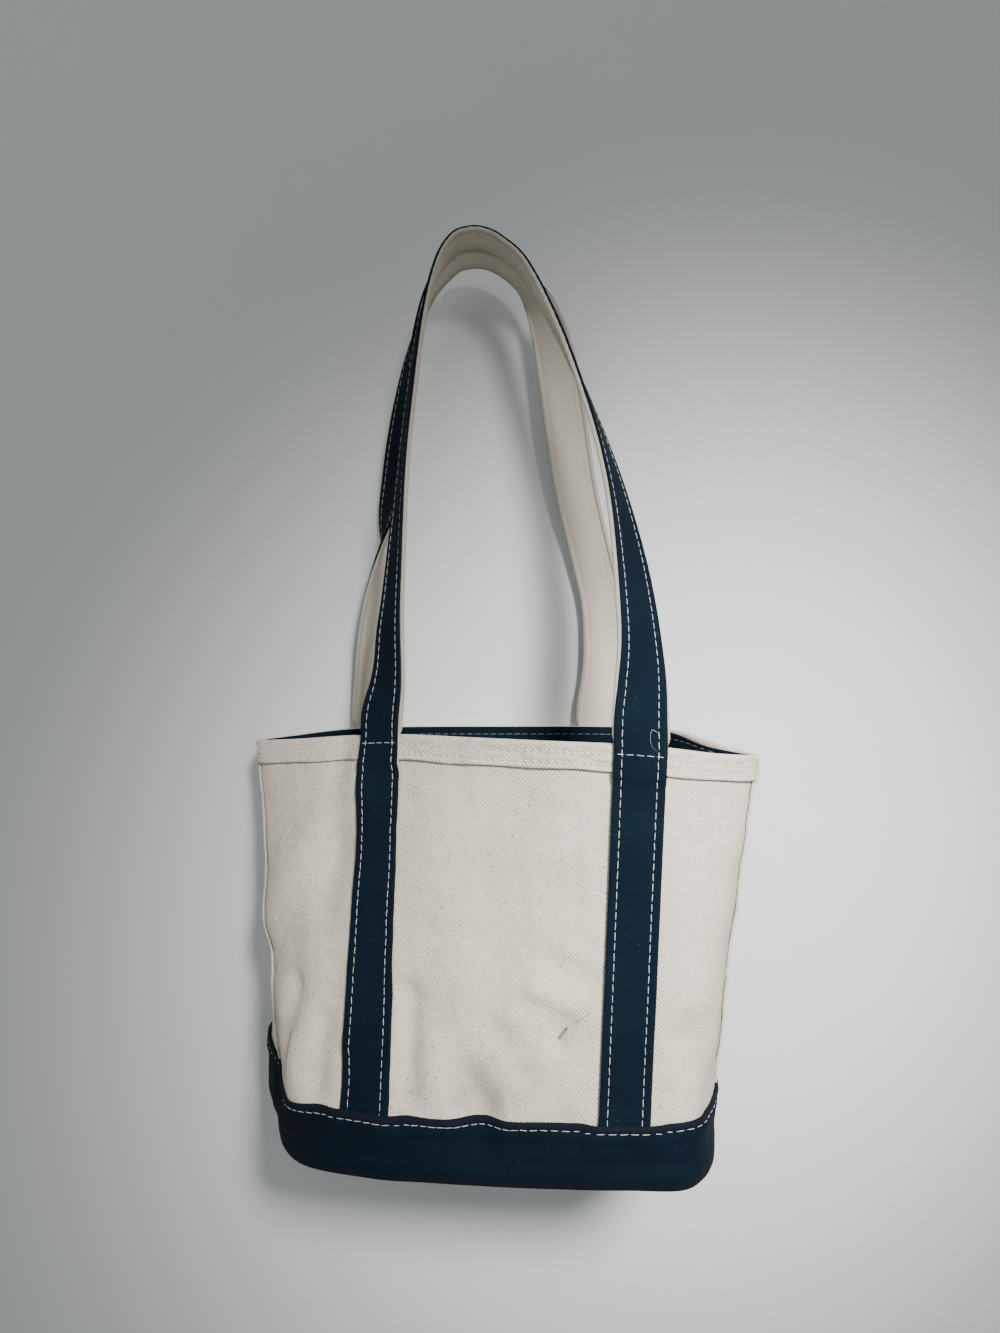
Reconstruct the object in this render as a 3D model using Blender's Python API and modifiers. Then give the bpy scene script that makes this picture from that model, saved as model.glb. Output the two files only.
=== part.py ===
"""Canvas tote bag with a contrast base and two long straps.

The bag hangs by both straps, as on a hook. The origin is the seat where the hook bears: the
middle of the flat underside of the front handle's lining, at the top of its loop. +Z is up, the
front panel faces -Y, and the bag's width runs along X.

Every layer of cloth is a thin shell that follows one shared skin, at its own height above it.
The skin is lofted between the outline of the rim and the outline of the base, and both outlines
start at the left side seam and run round the front, the right side seam and the back.
"""
import math

import bpy
from mathutils import Vector

for leftover in list(bpy.data.objects):
    bpy.data.objects.remove(leftover, do_unlink=True)
parts = bpy.data.collections.new("canvas_tote_bag")
bpy.context.scene.collection.children.link(parts)

MM = 0.001

# ---- cloth ------------------------------------------------------------------------------------
CANVAS = 1.3 * MM            # body, base, hem and strap canvas
LINING = 1.0 * MM            # webbing that lines the straps
FACING = 0.8 * MM            # tape inside the rim
THREAD_WIDTH = 0.8 * MM
THREAD_HEIGHT = 0.4 * MM
GAP = 0.3 * MM               # between neighbouring layers

# ---- bag body ---------------------------------------------------------------------------------
RIM_Z = -286 * MM
RIM_DROOP = 5 * MM           # how far the rim sinks at the side seams
BASE_TOP_Z = -468 * MM
BASE_BOTTOM_Z = -503 * MM
WALL = RIM_Z - BASE_TOP_Z     # from the rim down to the base's edge
CORNER_RADIUS = 12 * MM      # round between the walls and the bottom
HEM_DEPTH = 12 * MM
HEM_STITCHES = {"upper": 3.6 * MM, "lower": 8.8 * MM}    # rows of stitches, below the rim
FACING_STITCHES = 3.2 * MM
BASE_STITCHES = 3 * MM       # below the fold of the walls
BASE_LIP = 1.5 * MM          # the base's edge stands above the fold of the walls by this much
BASE_BACK_RISE = 8 * MM      # and by this much more at the back
SEAM_GAP = 1.3 * MM          # from a panel's edge to the middle of its side seam
BOTTOM_INSET = 2 * MM        # between the walls' lower edge and the bottom panel
SEAM_HALF_WIDTH = 2.5 * MM   # of the raised side seams
SEAM_HEIGHT = 1.0 * MM
SEAM_LIFT = 0.7 * MM         # from the skin to a side seam's inner face

# ---- straps -----------------------------------------------------------------------------------
STRAP_WIDTH = 25.4 * MM
STITCH_INSET = 4.3 * MM      # from the strap's edge to its row of stitches
STRAP_TUCK = 4 * MM          # how far a strap runs under the base's edge
HINGE_RISE = 10 * MM         # from the rim up to the line where a handle folds
FOLD_GAP = 0.4 * MM          # from that line to the cloth on each side of it
TUCK_MARGIN = 4.5 * MM       # beside a strap, where the base settles back on the body
CROSS_ROW = 4 * MM           # from the rim down to the stitches across a strap
STITCH_END = 12 * MM         # from a strap's stitches down to the fold of the walls
FOOT_STRAIGHT = 8 * MM       # length of a handle's straight foot above the fold line
SEAT_HALF_LENGTH = 4.5 * MM  # of the level stretch at the top of a handle
SEAT_DEPTH = 1 * MM          # how far below the top that stretch may begin

# Outlines seen from above, in millimetres, with the side seams at points 0 and 8 and the straps
# centred on points 2, 6, 12 and 14.
RIM_OUTLINE = [(-131, 31), (-95, 9), (-50, -14), (-18, -39), (14, -60), (48, -80), (83, -92),
               (114, -90), (143, -72), (121, -40), (103, 2), (95, 34), (76, 49), (5, 51),
               (-65, 52), (-106, 48)]
BASE_OUTLINE = [(-105, -28), (-93, -70), (-52, -87), (-22, -92), (3, -94.5), (30, -97), (74, -99),
                (110, -90), (125.5, -59), (127, -22), (122, 14), (105, 35), (74, 41), (2, 42),
                (-68, 42), (-119, 29)]
POINTS = len(RIM_OUTLINE)
SEAM_LEFT = 0
SEAM_RIGHT = 8

# Handle routes: the middle of the lining's inner face (X, Y, Z in millimetres), and the compass
# angle of the strap's width in degrees.
FRONT_ROUTE = [(-48, -14, -250, -45), (-47.2, -12, -226, -54), (-45.5, -10, -203, -62),
               (-41, -5, -140, -74), (-37, -2, -98, -76), (-30, 0, -47, -79), (-21, 0, -17, -86),
               (-12, 0, -3.5, -90), (-4, 0, 0, -90), (4, 0, 0, -90), (14, 0, -4.5, -90),
               (29, -3, -20, -91), (48, -17, -62, -96), (65, -29, -110, -105),
               (74, -41, -144, -114), (80.4, -51, -178, -127), (83.6, -66, -211, -142),
               (84.8, -81, -240, -166), (84.2, -90, -257, -196)]
BACK_ROUTE = [(-62.5, 50, -245, 194), (-61, 48.5, -225, 209), (-58.6, 46.5, -195, 241),
              (-57, 45, -172, 274), (-54.3, 44, -153, 298), (-50.5, 42, -130, 306),
              (-47, 39, -106, 305), (-42.5, 34.5, -78, 296), (-37.5, 31, -50, 281),
              (-27, 29, -20, 271), (-13, 28.4, -3.5, 270), (-4, 28.4, 0, 270), (4, 28.4, 0, 270),
              (14, 28.4, -4, 270), (28, 29, -14, 282), (38, 30.5, -28, 302), (44.8, 32, -45, 319),
              (50, 36, -68, 332), (55.5, 41, -101, 343), (61.5, 44.5, -137, 340),
              (71.5, 47, -178, 333), (79, 49, -210, 340), (80.5, 51, -243, 352)]
ROUTE_STEPS = 2              # sections between two points of a route

FRONT_STRAPS = {"left": 2, "right": 6}
BACK_STRAPS = {"right": 12, "left": 14}
LAYER_STACK = LINING + GAP + CANVAS
STRAP_FACE = GAP + LAYER_STACK       # from the skin to a sewn strap's outer face
HEM_LIFT = GAP + CANVAS              # extra height where a strap crosses the hem

# Distances down the wall from the rim, where every layer has a row of points.
STRAP_END = WALL + STRAP_TUCK
TUCK_END = STRAP_END + 4 * MM
WALL_ROWS = [0, HEM_DEPTH, HEM_DEPTH + 2 * MM, HEM_DEPTH + 7 * MM, 60 * MM, 100 * MM, 140 * MM,
             WALL - BASE_BACK_RISE - BASE_LIP, WALL, STRAP_END, TUCK_END]
STRAIGHT = RIM_Z - BASE_BOTTOM_Z - CORNER_RADIUS - CANVAS - GAP
ARC = CORNER_RADIUS * math.pi / 2
ARC_ROWS = [STRAIGHT, STRAIGHT + ARC / 3, STRAIGHT + ARC * 2 / 3, STRAIGHT + ARC]

COLOURS = {
    "natural_canvas": ((0.61, 0.55, 0.46), 0.95),
    "navy_canvas": ((0.008, 0.017, 0.030), 0.85),
    "strap_lining": ((0.50, 0.45, 0.37), 0.90),
    "white_thread": ((0.72, 0.72, 0.70), 0.70),
    "natural_thread": ((0.66, 0.61, 0.52), 0.75),
}


# ---- the shared skin ----------------------------------------------------------------------------
def curve_point(points, k):
    """Point k, which may lie between two whole numbers, on a closed smooth outline."""
    i = math.floor(k)
    t = k - i
    a, b, c, d = (Vector(points[(i + j) % len(points)]) for j in (-1, 0, 1, 2))
    return 0.5 * (2 * b + (c - a) * t + (2 * a - 5 * b + 4 * c - d) * t * t
                  + (3 * b - a - 3 * c + d) * t ** 3) * MM


def rim_z(k):
    """Height of the rim, which sinks towards both side seams."""
    from_seam = math.cos(math.pi * (k - SEAM_LEFT) / SEAM_RIGHT) ** 2
    return RIM_Z - RIM_DROOP * from_seam ** 3


def plan_point(k, down):
    share = min(down / WALL, 1.0)
    return curve_point(RIM_OUTLINE, k).lerp(curve_point(BASE_OUTLINE, k), share)


def skin(k, down):
    """The skin's point and outward normal, at outline point k and a distance down the wall."""
    step = 0.02
    tangent = (plan_point(k + step, down) - plan_point(k - step, down)).normalized()
    plan = plan_point(k, down)
    outward = Vector((tangent.y, -tangent.x, 0))
    if down <= WALL:
        z = rim_z(k) + (BASE_TOP_Z - rim_z(k)) * down / WALL
        return Vector((plan.x, plan.y, z)), outward
    if down <= STRAIGHT:
        return Vector((plan.x, plan.y, RIM_Z - down)), outward
    turn = (down - STRAIGHT) / CORNER_RADIUS
    normal = outward * math.cos(turn) + Vector((0, 0, -1)) * math.sin(turn)
    centre = Vector((plan.x, plan.y, RIM_Z - STRAIGHT)) - outward * CORNER_RADIUS
    return centre + normal * CORNER_RADIUS, normal


def beside(k, distance, down):
    """The outline point that lies a distance along the cloth from outline point k."""
    where = k
    for _ in range(4):
        half = (k + where) / 2
        speed = (plan_point(half + 0.01, down) - plan_point(half - 0.01, down)).length / 0.02
        where = k + distance / speed
    return where


STRAP_COLUMNS = [-STRAP_WIDTH / 2, -STRAP_WIDTH / 2 + STITCH_INSET,
                 STRAP_WIDTH / 2 - STITCH_INSET, STRAP_WIDTH / 2]
BODY_COLUMNS = [STRAP_COLUMNS[0] - TUCK_MARGIN] + STRAP_COLUMNS + [STRAP_COLUMNS[3] + TUCK_MARGIN]
FRONT_LOOSE = [0.25, 0.5, 0.75, 1, 1.4, 2.7, 3, 3.5, 4, 4.5, 5, 5.3, 6.8, 7.1, 7.5, 7.8]
BACK_LOOSE = [8.2, 8.5, 9, 9.5, 10, 10.4, 10.8, 11.1, 12.5, 13, 13.5, 14.7, 15, 15.25, 15.5, 15.75]


def columns(start, end, straps, loose, down):
    """Outline points of one row of a panel, with columns along both of its straps."""
    inner = list(loose)
    for k in straps.values():
        inner += [beside(k, x, down) for x in BODY_COLUMNS]
    return [start] + sorted(inner) + [end]


def front_columns(down):
    start = beside(SEAM_LEFT, SEAM_GAP, down)
    end = beside(SEAM_RIGHT, -SEAM_GAP, down)
    return columns(start, end, FRONT_STRAPS, FRONT_LOOSE, down)


def back_columns(down):
    start = beside(SEAM_RIGHT, SEAM_GAP, down)
    end = beside(SEAM_LEFT, -SEAM_GAP, down) + POINTS
    return columns(start, end, BACK_STRAPS, BACK_LOOSE, down)


def without_ends(columns_at):
    return lambda down: columns_at(down)[1:-1]


# ---- making objects -----------------------------------------------------------------------------
def material(slot):
    made = bpy.data.materials.get(slot)
    if made:
        return made
    colour, roughness = COLOURS[slot]
    made = bpy.data.materials.new(slot)
    made.use_nodes = True
    shader = made.node_tree.nodes["Principled BSDF"]
    shader.inputs["Base Color"].default_value = (*colour, 1)
    shader.inputs["Roughness"].default_value = roughness
    shader.inputs["Metallic"].default_value = 0
    return made


def cloth(name, slot, rows, thickness, parent=None, closed=False, bottom=False, upward=False,
          inwards=False):
    """A shell of cloth: a loft through rows of points, thickened outwards or inwards from them.

    The rows run down the cloth as seen from outside, or up it where upward is set.
    """
    across = len(rows[0])
    verts = [point for row in rows for point in row]
    faces = []
    for i in range(len(rows) - 1):
        for j in range(across if closed else across - 1):
            a = i * across + j
            b = i * across + (j + 1) % across
            pair = [(a, a + across, b), (b, a + across, b + across)]
            faces += [face[::-1] for face in pair] if upward else pair
    if bottom:
        first = (len(rows) - 1) * across
        faces.append(tuple(range(first + across - 1, first - 1, -1)))
    mesh = bpy.data.meshes.new(name)
    origin = parent.location if parent else Vector((0, 0, 0))
    mesh.from_pydata([point - origin for point in verts], [], faces)
    mesh.shade_smooth()
    mesh.set_sharp_from_angle(angle=math.radians(40))
    mesh.materials.append(material(slot))
    made = bpy.data.objects.new(name, mesh)
    parts.objects.link(made)
    made.parent = parent
    solidify = made.modifiers.new("thickness", "SOLIDIFY")
    solidify.thickness = thickness
    solidify.offset = -1 if inwards else 1
    return made


def skin_rows(columns_at, downs, height):
    """Rows of points over the skin; height(k, down) is how far they stand off it."""
    rows = []
    for down in downs:
        row = []
        for k in columns_at(down):
            point, normal = skin(k, down)
            row.append(point + normal * height(k, down))
        rows.append(row)
    return rows


def level(value):
    return lambda k, down: value


# ---- body of the bag ----------------------------------------------------------------------------
def make_panels():
    for name, columns_at in (("front_panel", front_columns), ("back_panel", back_columns)):
        rows = skin_rows(columns_at, WALL_ROWS + ARC_ROWS, level(0))
        cloth(name, "natural_canvas", rows, CANVAS, inwards=True)


def make_bottom_panel():
    """The flat bottom of the body, which lies inside the base."""
    ring = []
    for k in front_columns(WALL)[1:-1] + back_columns(WALL)[1:-1]:
        point, _ = skin(k, ARC_ROWS[-1])
        _, outward = skin(k, WALL)
        ring.append(point - outward * BOTTOM_INSET + Vector((0, 0, CANVAS)))
    inner = [point.lerp(sum(ring, Vector()) / len(ring), 0.5) for point in ring]
    cloth("bottom_panel", "natural_canvas", [ring, inner], CANVAS, closed=True, bottom=True)


def tuck_height(k, down):
    """How far the base stands off the body: more where it covers the end of a strap."""
    covered = any(abs(plan_gap(k, strap, down)) < STRAP_WIDTH / 2 + GAP
                  for straps in (FRONT_STRAPS, BACK_STRAPS) for strap in straps.values())
    if covered and down <= TUCK_END + GAP:
        return GAP + STRAP_FACE + GAP
    return GAP


def plan_gap(k, strap, down):
    return (plan_point(k, down) - plan_point(strap, down)).length


def make_base():
    """The outer base: a tray that wraps the lower walls and the bottom."""
    def around(down):
        return front_columns(down)[1:-1] + [SEAM_RIGHT] + back_columns(down)[1:-1] + [POINTS]

    rows = []
    for k in around(WALL):
        to_back = 0.5 - 0.5 * math.cos(2 * math.pi * (k - 4) / POINTS)
        rows.append(WALL - BASE_LIP - BASE_BACK_RISE * to_back)
    top = []
    for k, down in zip(around(WALL), rows):
        point, normal = skin(k, down)
        top.append(point + normal * tuck_height(k, down))
    lower = skin_rows(around, [WALL, STRAP_END, TUCK_END] + ARC_ROWS, tuck_height)
    cloth("base_cover", "navy_canvas", [top] + lower, CANVAS, closed=True, bottom=True)


def make_rim():
    """The hem folded to the outside and the tape that faces the rim inside."""
    hem_rows = [0, HEM_DEPTH]
    for side, columns_at in (("front", front_columns), ("back", back_columns)):
        rows = skin_rows(columns_at, hem_rows, level(GAP))
        cloth(f"rim_hem_{side}", "natural_canvas", rows, CANVAS)
        rows = skin_rows(without_ends(columns_at), hem_rows, level(-CANVAS - 2 * GAP))
        cloth(f"rim_facing_{side}", "navy_canvas", rows, FACING, inwards=True)


def make_side_seams():
    """The raised allowance of each side seam, from the hem down to the base."""
    for side, k in (("left", SEAM_LEFT), ("right", SEAM_RIGHT)):
        rows = []
        for down in WALL_ROWS[2:8]:
            point, normal = skin(k, down)
            across = Vector((-normal.y, normal.x, 0))
            seat = point + normal * SEAM_LIFT
            rows.append([seat - across * SEAM_HALF_WIDTH, seat + across * SEAM_HALF_WIDTH])
        cloth(f"side_seam_{side}", "natural_canvas", rows, SEAM_HEIGHT)


# ---- sewn lengths of the straps -------------------------------------------------------------------
def strap_lift(down):
    return HEM_LIFT if down <= HEM_DEPTH + 2 * MM else 0


def sewn_face(k, down, extra=0):
    """A point on the outer face of a sewn strap."""
    point, normal = skin(k, down)
    return point + normal * (STRAP_FACE + strap_lift(down) + extra)


def fold_line(straps):
    """The line about which a handle folds: its two ends, at the straps' outer faces."""
    ends = {}
    for side, k in straps.items():
        end = sewn_face(k, 0)
        end.z = RIM_Z + HINGE_RISE
        ends[side] = end
    return ends


def fold_direction(ends):
    """Along the fold line, with the handle's outer side on the right."""
    return (ends["right"] - ends["left"]).normalized()


def strap_point(k, x, down, height, end, along, outward):
    """A point of a sewn strap. Above the rim it turns to lie along the fold line."""
    seat = max(down, 0)
    point, normal = skin(beside(k, x, seat), seat)
    point = point + normal * (height + strap_lift(seat))
    if down >= 0:
        return point
    at_fold = end + along * x + outward * (height - STRAP_FACE)
    return point.lerp(at_fold, -down / HINGE_RISE)


def make_sewn_straps(panel, straps, along, outward, ends):
    downs = [FOLD_GAP - HINGE_RISE, -HINGE_RISE * 0.5] + WALL_ROWS[:-1]
    heights = {"lining": GAP, "outer": GAP + LINING + GAP}
    look = {"lining": ("strap_lining", LINING), "outer": ("navy_canvas", CANVAS)}
    thread_x = STRAP_WIDTH / 2 - STITCH_INSET
    half = THREAD_WIDTH / 2
    for side, k in straps.items():
        for layer, height in heights.items():
            rows = [[strap_point(k, x, down, height, ends[side], along, outward)
                     for x in STRAP_COLUMNS] for down in downs]
            slot, thickness = look[layer]
            cloth(f"{panel}_strap_{side}_{layer}", slot, rows, thickness)
        # One row of stitches up an edge, across the strap at the rim and down the other edge.
        stops = [WALL - STITCH_END] + WALL_ROWS[6:0:-1]
        path = [(-thread_x, down) for down in stops]
        up_in = [(x + half, down) for x, down in path] + [(-thread_x + half, CROSS_ROW + half)]
        up_out = [(x - half, down) for x, down in path] + [(-thread_x - half, CROSS_ROW - half)]
        inner = up_in + [(-x, down) for x, down in reversed(up_in)]
        outer = up_out + [(-x, down) for x, down in reversed(up_out)]
        face = STRAP_FACE + GAP
        rows = [[strap_point(k, x, down, face, ends[side], along, outward) for x, down in pair]
                for pair in zip(outer, inner)]
        cloth(f"{panel}_strap_{side}_stitching", "white_thread", rows, THREAD_HEIGHT, upward=True)


# ---- handles --------------------------------------------------------------------------------------
def open_curve(points, k):
    """A smooth curve through points, with k counting them; the ends keep their direction."""
    i = min(int(k), len(points) - 2)
    t = k - i
    b, c = points[i], points[i + 1]
    a = points[i - 1] if i > 0 else 2 * b - c
    d = points[i + 2] if i + 2 < len(points) else 2 * c - b
    return 0.5 * (2 * b + (c - a) * t + (2 * a - 5 * b + 4 * c - d) * t * t
                  + (3 * b - a - 3 * c + d) * t ** 3)


def handle_sections(route, ends, outward, start_angle, end_angle):
    """Middle, width direction and outward normal of the strap along a handle."""
    def foot(side, rise, angle):
        point = ends[side] - outward * LAYER_STACK + Vector((0, 0, rise))
        return Vector((*point, angle))

    points = [foot("left", FOLD_GAP, start_angle), foot("left", FOOT_STRAIGHT, start_angle)]
    points += [Vector((x * MM, y * MM, z * MM, angle)) for x, y, z, angle in route]
    points += [foot("right", FOOT_STRAIGHT, end_angle), foot("right", FOLD_GAP, end_angle)]
    sections = []
    count = (len(points) - 1) * ROUTE_STEPS
    for i in range(count + 1):
        k = i / ROUTE_STEPS
        here = open_curve(points, k)
        before = open_curve(points, max(k - 0.05, 0))
        after = open_curve(points, min(k + 0.05, len(points) - 1))
        tangent = (after.xyz - before.xyz).normalized()
        if i in (0, count):
            tangent = Vector((0, 0, 1 if i == 0 else -1))
        angle = math.radians(here.w)
        width = Vector((math.cos(angle), math.sin(angle), 0))
        normal = width.cross(tangent).normalized()
        width = tangent.cross(normal)
        sections.append((here.xyz, width, normal))
    return sections


def flatten_seat(sections):
    """Make the top of the loop level where the hook bears, between the two points beside it."""
    level_sections = []
    for middle, width, normal in sections:
        if abs(middle.x) < SEAT_HALF_LENGTH and middle.z > -SEAT_DEPTH:
            middle = Vector((middle.x, middle.y, 0))
            normal = Vector((0, 0, 1))
            width = Vector((0, -1, 0))
        level_sections.append((middle, width, normal))
    return level_sections


def handle_layer(name, slot, sections, xs, height, thickness, parent):
    rows = [[middle + width * x + normal * height for x in xs] for middle, width, normal in sections]
    cloth(name, slot, rows, thickness, parent, upward=True)


def make_handle(panel, route, straps, outward_sign, start_angle, end_angle):
    ends = fold_line(straps)
    along = fold_direction(ends)
    outward = Vector((along.y, -along.x, 0)) * outward_sign
    turn = math.degrees(math.atan2(along.y, along.x))
    x_direction = along * outward_sign
    make_sewn_straps(panel, straps, x_direction, outward, ends)

    pivot = bpy.data.objects.new(f"{panel}_handle_pivot", None)
    pivot.location = ends["left"]
    parts.objects.link(pivot)
    sections = handle_sections(route, ends, outward, start_angle + turn, end_angle + turn)
    sections = flatten_seat(sections)
    handle_layer(f"{panel}_handle_lining", "strap_lining", sections, STRAP_COLUMNS, 0, LINING, pivot)
    handle_layer(f"{panel}_handle_outer", "navy_canvas", sections, STRAP_COLUMNS,
                 LINING + GAP, CANVAS, pivot)
    half = THREAD_WIDTH / 2
    for edge, x in (("near", STRAP_COLUMNS[2]), ("far", STRAP_COLUMNS[1])):
        handle_layer(f"{panel}_handle_stitching_{edge}", "white_thread", sections[1:-1],
                     [x - half, x + half], LAYER_STACK + GAP, THREAD_HEIGHT, pivot)


# ---- rows of stitches round the bag ---------------------------------------------------------------
def ring_thread(name, slot, columns_at, down, height):
    rows = skin_rows(columns_at, [down, down + THREAD_WIDTH], height)
    cloth(name, slot, rows, THREAD_HEIGHT)


def strap_free_stretches(columns_at, straps):
    """The runs of columns between the straps, as (name, first column, last column)."""
    across = len(columns_at(0)) - 1
    starts = [i for i, k in enumerate(columns_at(0))
              if any(abs(k - beside(s, BODY_COLUMNS[0], 0)) < 1e-6 for s in straps.values())]
    first, second = starts
    span = len(BODY_COLUMNS) - 1
    return [("a", 0, first), ("b", first + span, second), ("c", second + span, across)]


def make_ring_stitching():
    """Rows along the hem, which stop beside each strap, and along the facing and the base."""
    for side, columns_at, straps in (("front", front_columns, FRONT_STRAPS),
                                     ("back", back_columns, BACK_STRAPS)):
        for part, first, last in strap_free_stretches(columns_at, straps):
            def stretch(down, columns_at=columns_at, first=first, last=last):
                return columns_at(down)[first:last + 1]

            for row, down in HEM_STITCHES.items():
                ring_thread(f"hem_stitching_{side}_{row}_{part}", "natural_thread", stretch, down,
                            level(CANVAS + 3 * GAP))

        ring_thread(f"rim_facing_stitching_{side}", "white_thread", without_ends(columns_at),
                    FACING_STITCHES, level(-CANVAS - FACING - 4 * GAP - THREAD_HEIGHT))
        ring_thread(f"base_stitching_{side}", "white_thread", columns_at, WALL + BASE_STITCHES,
                    lambda k, down: tuck_height(k, down) + CANVAS + GAP)


make_panels()
make_bottom_panel()
make_base()
make_rim()
make_side_seams()
make_handle("front", FRONT_ROUTE, FRONT_STRAPS, 1, 0, -180)
make_handle("back", BACK_ROUTE, BACK_STRAPS, -1, 180, 360)
make_ring_stitching()
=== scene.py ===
"""Canvas tote bag with a navy base and two long lined straps, hanging by both handles.

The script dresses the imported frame: every layer of cloth is a lofted shell over one shared skin,
which is drawn between the outline of the rim and the outline of the base and then creased and
dented, so that body, hem, facing, base, straps and each single stitch lie on one another.
"""
import math

import bmesh
import bpy
import numpy as np
from bpy.props import FloatProperty, FloatVectorProperty, IntProperty, PointerProperty
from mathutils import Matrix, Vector


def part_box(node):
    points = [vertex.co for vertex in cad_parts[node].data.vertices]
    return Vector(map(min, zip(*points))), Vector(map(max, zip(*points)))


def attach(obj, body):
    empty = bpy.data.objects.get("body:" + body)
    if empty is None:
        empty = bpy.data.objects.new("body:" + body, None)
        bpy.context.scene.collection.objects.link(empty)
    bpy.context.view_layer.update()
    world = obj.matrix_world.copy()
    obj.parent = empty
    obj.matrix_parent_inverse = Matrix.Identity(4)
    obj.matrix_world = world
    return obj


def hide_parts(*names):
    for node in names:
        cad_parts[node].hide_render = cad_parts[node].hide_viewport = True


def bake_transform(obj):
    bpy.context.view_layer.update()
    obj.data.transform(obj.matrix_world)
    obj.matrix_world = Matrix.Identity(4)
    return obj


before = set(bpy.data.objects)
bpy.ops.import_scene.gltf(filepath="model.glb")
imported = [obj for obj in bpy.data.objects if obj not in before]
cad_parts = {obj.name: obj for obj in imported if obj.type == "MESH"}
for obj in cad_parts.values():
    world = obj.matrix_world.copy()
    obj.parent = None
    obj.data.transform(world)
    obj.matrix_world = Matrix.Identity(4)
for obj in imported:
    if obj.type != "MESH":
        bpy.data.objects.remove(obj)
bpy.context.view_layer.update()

bl_info = {
    "name": "Canvas Tote Bag",
    "version": (1, 0, 0),
    "blender": (4, 5, 0),
    "location": "View3D > Sidebar > Tote Bag",
    "description": "Dresses the frame of a hanging canvas tote bag with sewn cloth",
    "category": "Object",
}

MM = 0.001
UP = np.array([0.0, 0.0, 1.0])

# ---- places taken from the frame ----------------------------------------------------------------
BOTTOM_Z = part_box("base_cover")[0][2]        # underside of the base
RIM_Z = -286 * MM
WALL = 182 * MM                              # from the rim down to the fold above the base
RIM_DROOP = 7 * MM                           # how far the rim sinks at the side seams
CORNER_RADIUS = 12 * MM
CANVAS = 1.3 * MM
STRAIGHT = RIM_Z - BOTTOM_Z - CORNER_RADIUS - CANVAS - 0.3 * MM
ARC = CORNER_RADIUS * math.pi / 2
STRAP_WIDTH = 25.4 * MM
STRAP_END = WALL + 4 * MM                    # the straps run this far down, under the base's edge
STRAP_SEAT = 0.25 * MM                       # from the skin to a strap's lining
HEM_DEPTH = 12 * MM
HEM_ROWS = {"upper": 3.6 * MM, "lower": 8.8 * MM}    # stitches, down from the rim
EDGE_STITCHES = 3.2 * MM                     # from the base's or the facing's edge to its stitches
HEM_LIFT = 1.7 * MM                          # how far a strap climbs where it crosses the hem

# Radii of the loose fibres.
FIBRE, LOOSE_THREAD, WISP = 0.10 * MM, 0.11 * MM, 0.18 * MM

# The camera, its lens in millimetres, and the wall that the bag hangs on.
CAMERA = (14.5 * MM, -579 * MM, -247 * MM)
LENS = 27.03
WALL_BEHIND = 62 * MM

# Outlines seen from above, in millimetres, from the left side seam round the front, the right
# side seam and the back. Points 0 and 8 are the seams; 2, 6, 12 and 14 carry the straps.
RIM_OUTLINE = [(-131, 31), (-95, 8), (-50, -13.5), (-19, -38), (14, -60), (48, -80), (83, -92),
               (114, -90), (143, -72), (122, -38), (104, 2), (95, 34), (76, 49), (5, 51),
               (-65, 52), (-106, 48)]
BASE_OUTLINE = [(-107, -29), (-92, -70), (-52, -87), (-22, -91.5), (3, -94.5), (30, -97),
                (74, -99), (110, -96), (125.5, -59), (127, -22), (122, 14), (105, 35), (74, 41),
                (2, 42), (-68, 42), (-120.5, 31)]
SEAM_LEFT, SEAM_RIGHT, ROUND = 0, 8, 16
FRONT_STRAPS = (2, 6)                        # left and right, as outline points
BACK_STRAPS = (14, 12)

# Soft folds and dents of the walls: outline point and distance down (mm) of both ends, width and
# height (mm); below zero is a dent.
FOLDS = [
    (1.62, 24, 0.10, 104, 13, 4.0), (1.35, 62, 0.55, 118, 16, -3.8),
    (0.9, 132, 0.75, 156, 9, -4.4), (0.5, 120, 0.8, 164, 10, 1.4),
    (1.42, 144, 1.36, 172, 6, -3.4), (1.02, 158, 1.1, 170, 8, 3.0),
    (2.62, 128, 2.60, 172, 8, -4.4), (2.44, 136, 2.44, 166, 5, 1.4),
    (3.05, 150, 3.1, 166, 8, 1.8), (3.80, 166, 4.20, 177, 9, -5.6), (3.8, 176, 4.1, 190, 9, -4.6),
    (3.95, 148, 4.5, 156, 8, 1.6), (4.85, 118, 5.45, 128, 5, 2.6),
    (5.45, 128, 5.22, 143, 4, -2.8), (4.6, 134, 5.1, 150, 10, 2.4), (5.0, 104, 5.5, 114, 7, -1.6),
    (3.1, 60, 3.7, 120, 16, 1.7), (4.4, 30, 3.6, 62, 14, -1.7), (5.0, 70, 4.2, 100, 14, -1.6),
    (6.9, 140, 7.4, 166, 12, -2.6), (7.3, 50, 7.0, 120, 16, 1.6), (7.85, 60, 7.8, 160, 9, -1.4),
    (1.42, 6, 1.30, 96, 9, -3.2), (1.80, 0, 1.80, 150, 9, 3.4), (9.3, 30, 9.0, 150, 18, -5.0),
    (10.0, 60, 10.4, 160, 16, 3.0), (12.9, 110, 13.6, 150, 20, -2.5),
    (13.4, 60, 13.2, 90, 16, 1.6), (15.2, 60, 15.5, 150, 14, -4.0),
    (11.2, 120, 11.0, 170, 12, -2.0), (0.1, 188, 1.1, 205, 12, -4.0),
    (7.4, 192, 8.2, 205, 10, -1.2),
]

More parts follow.
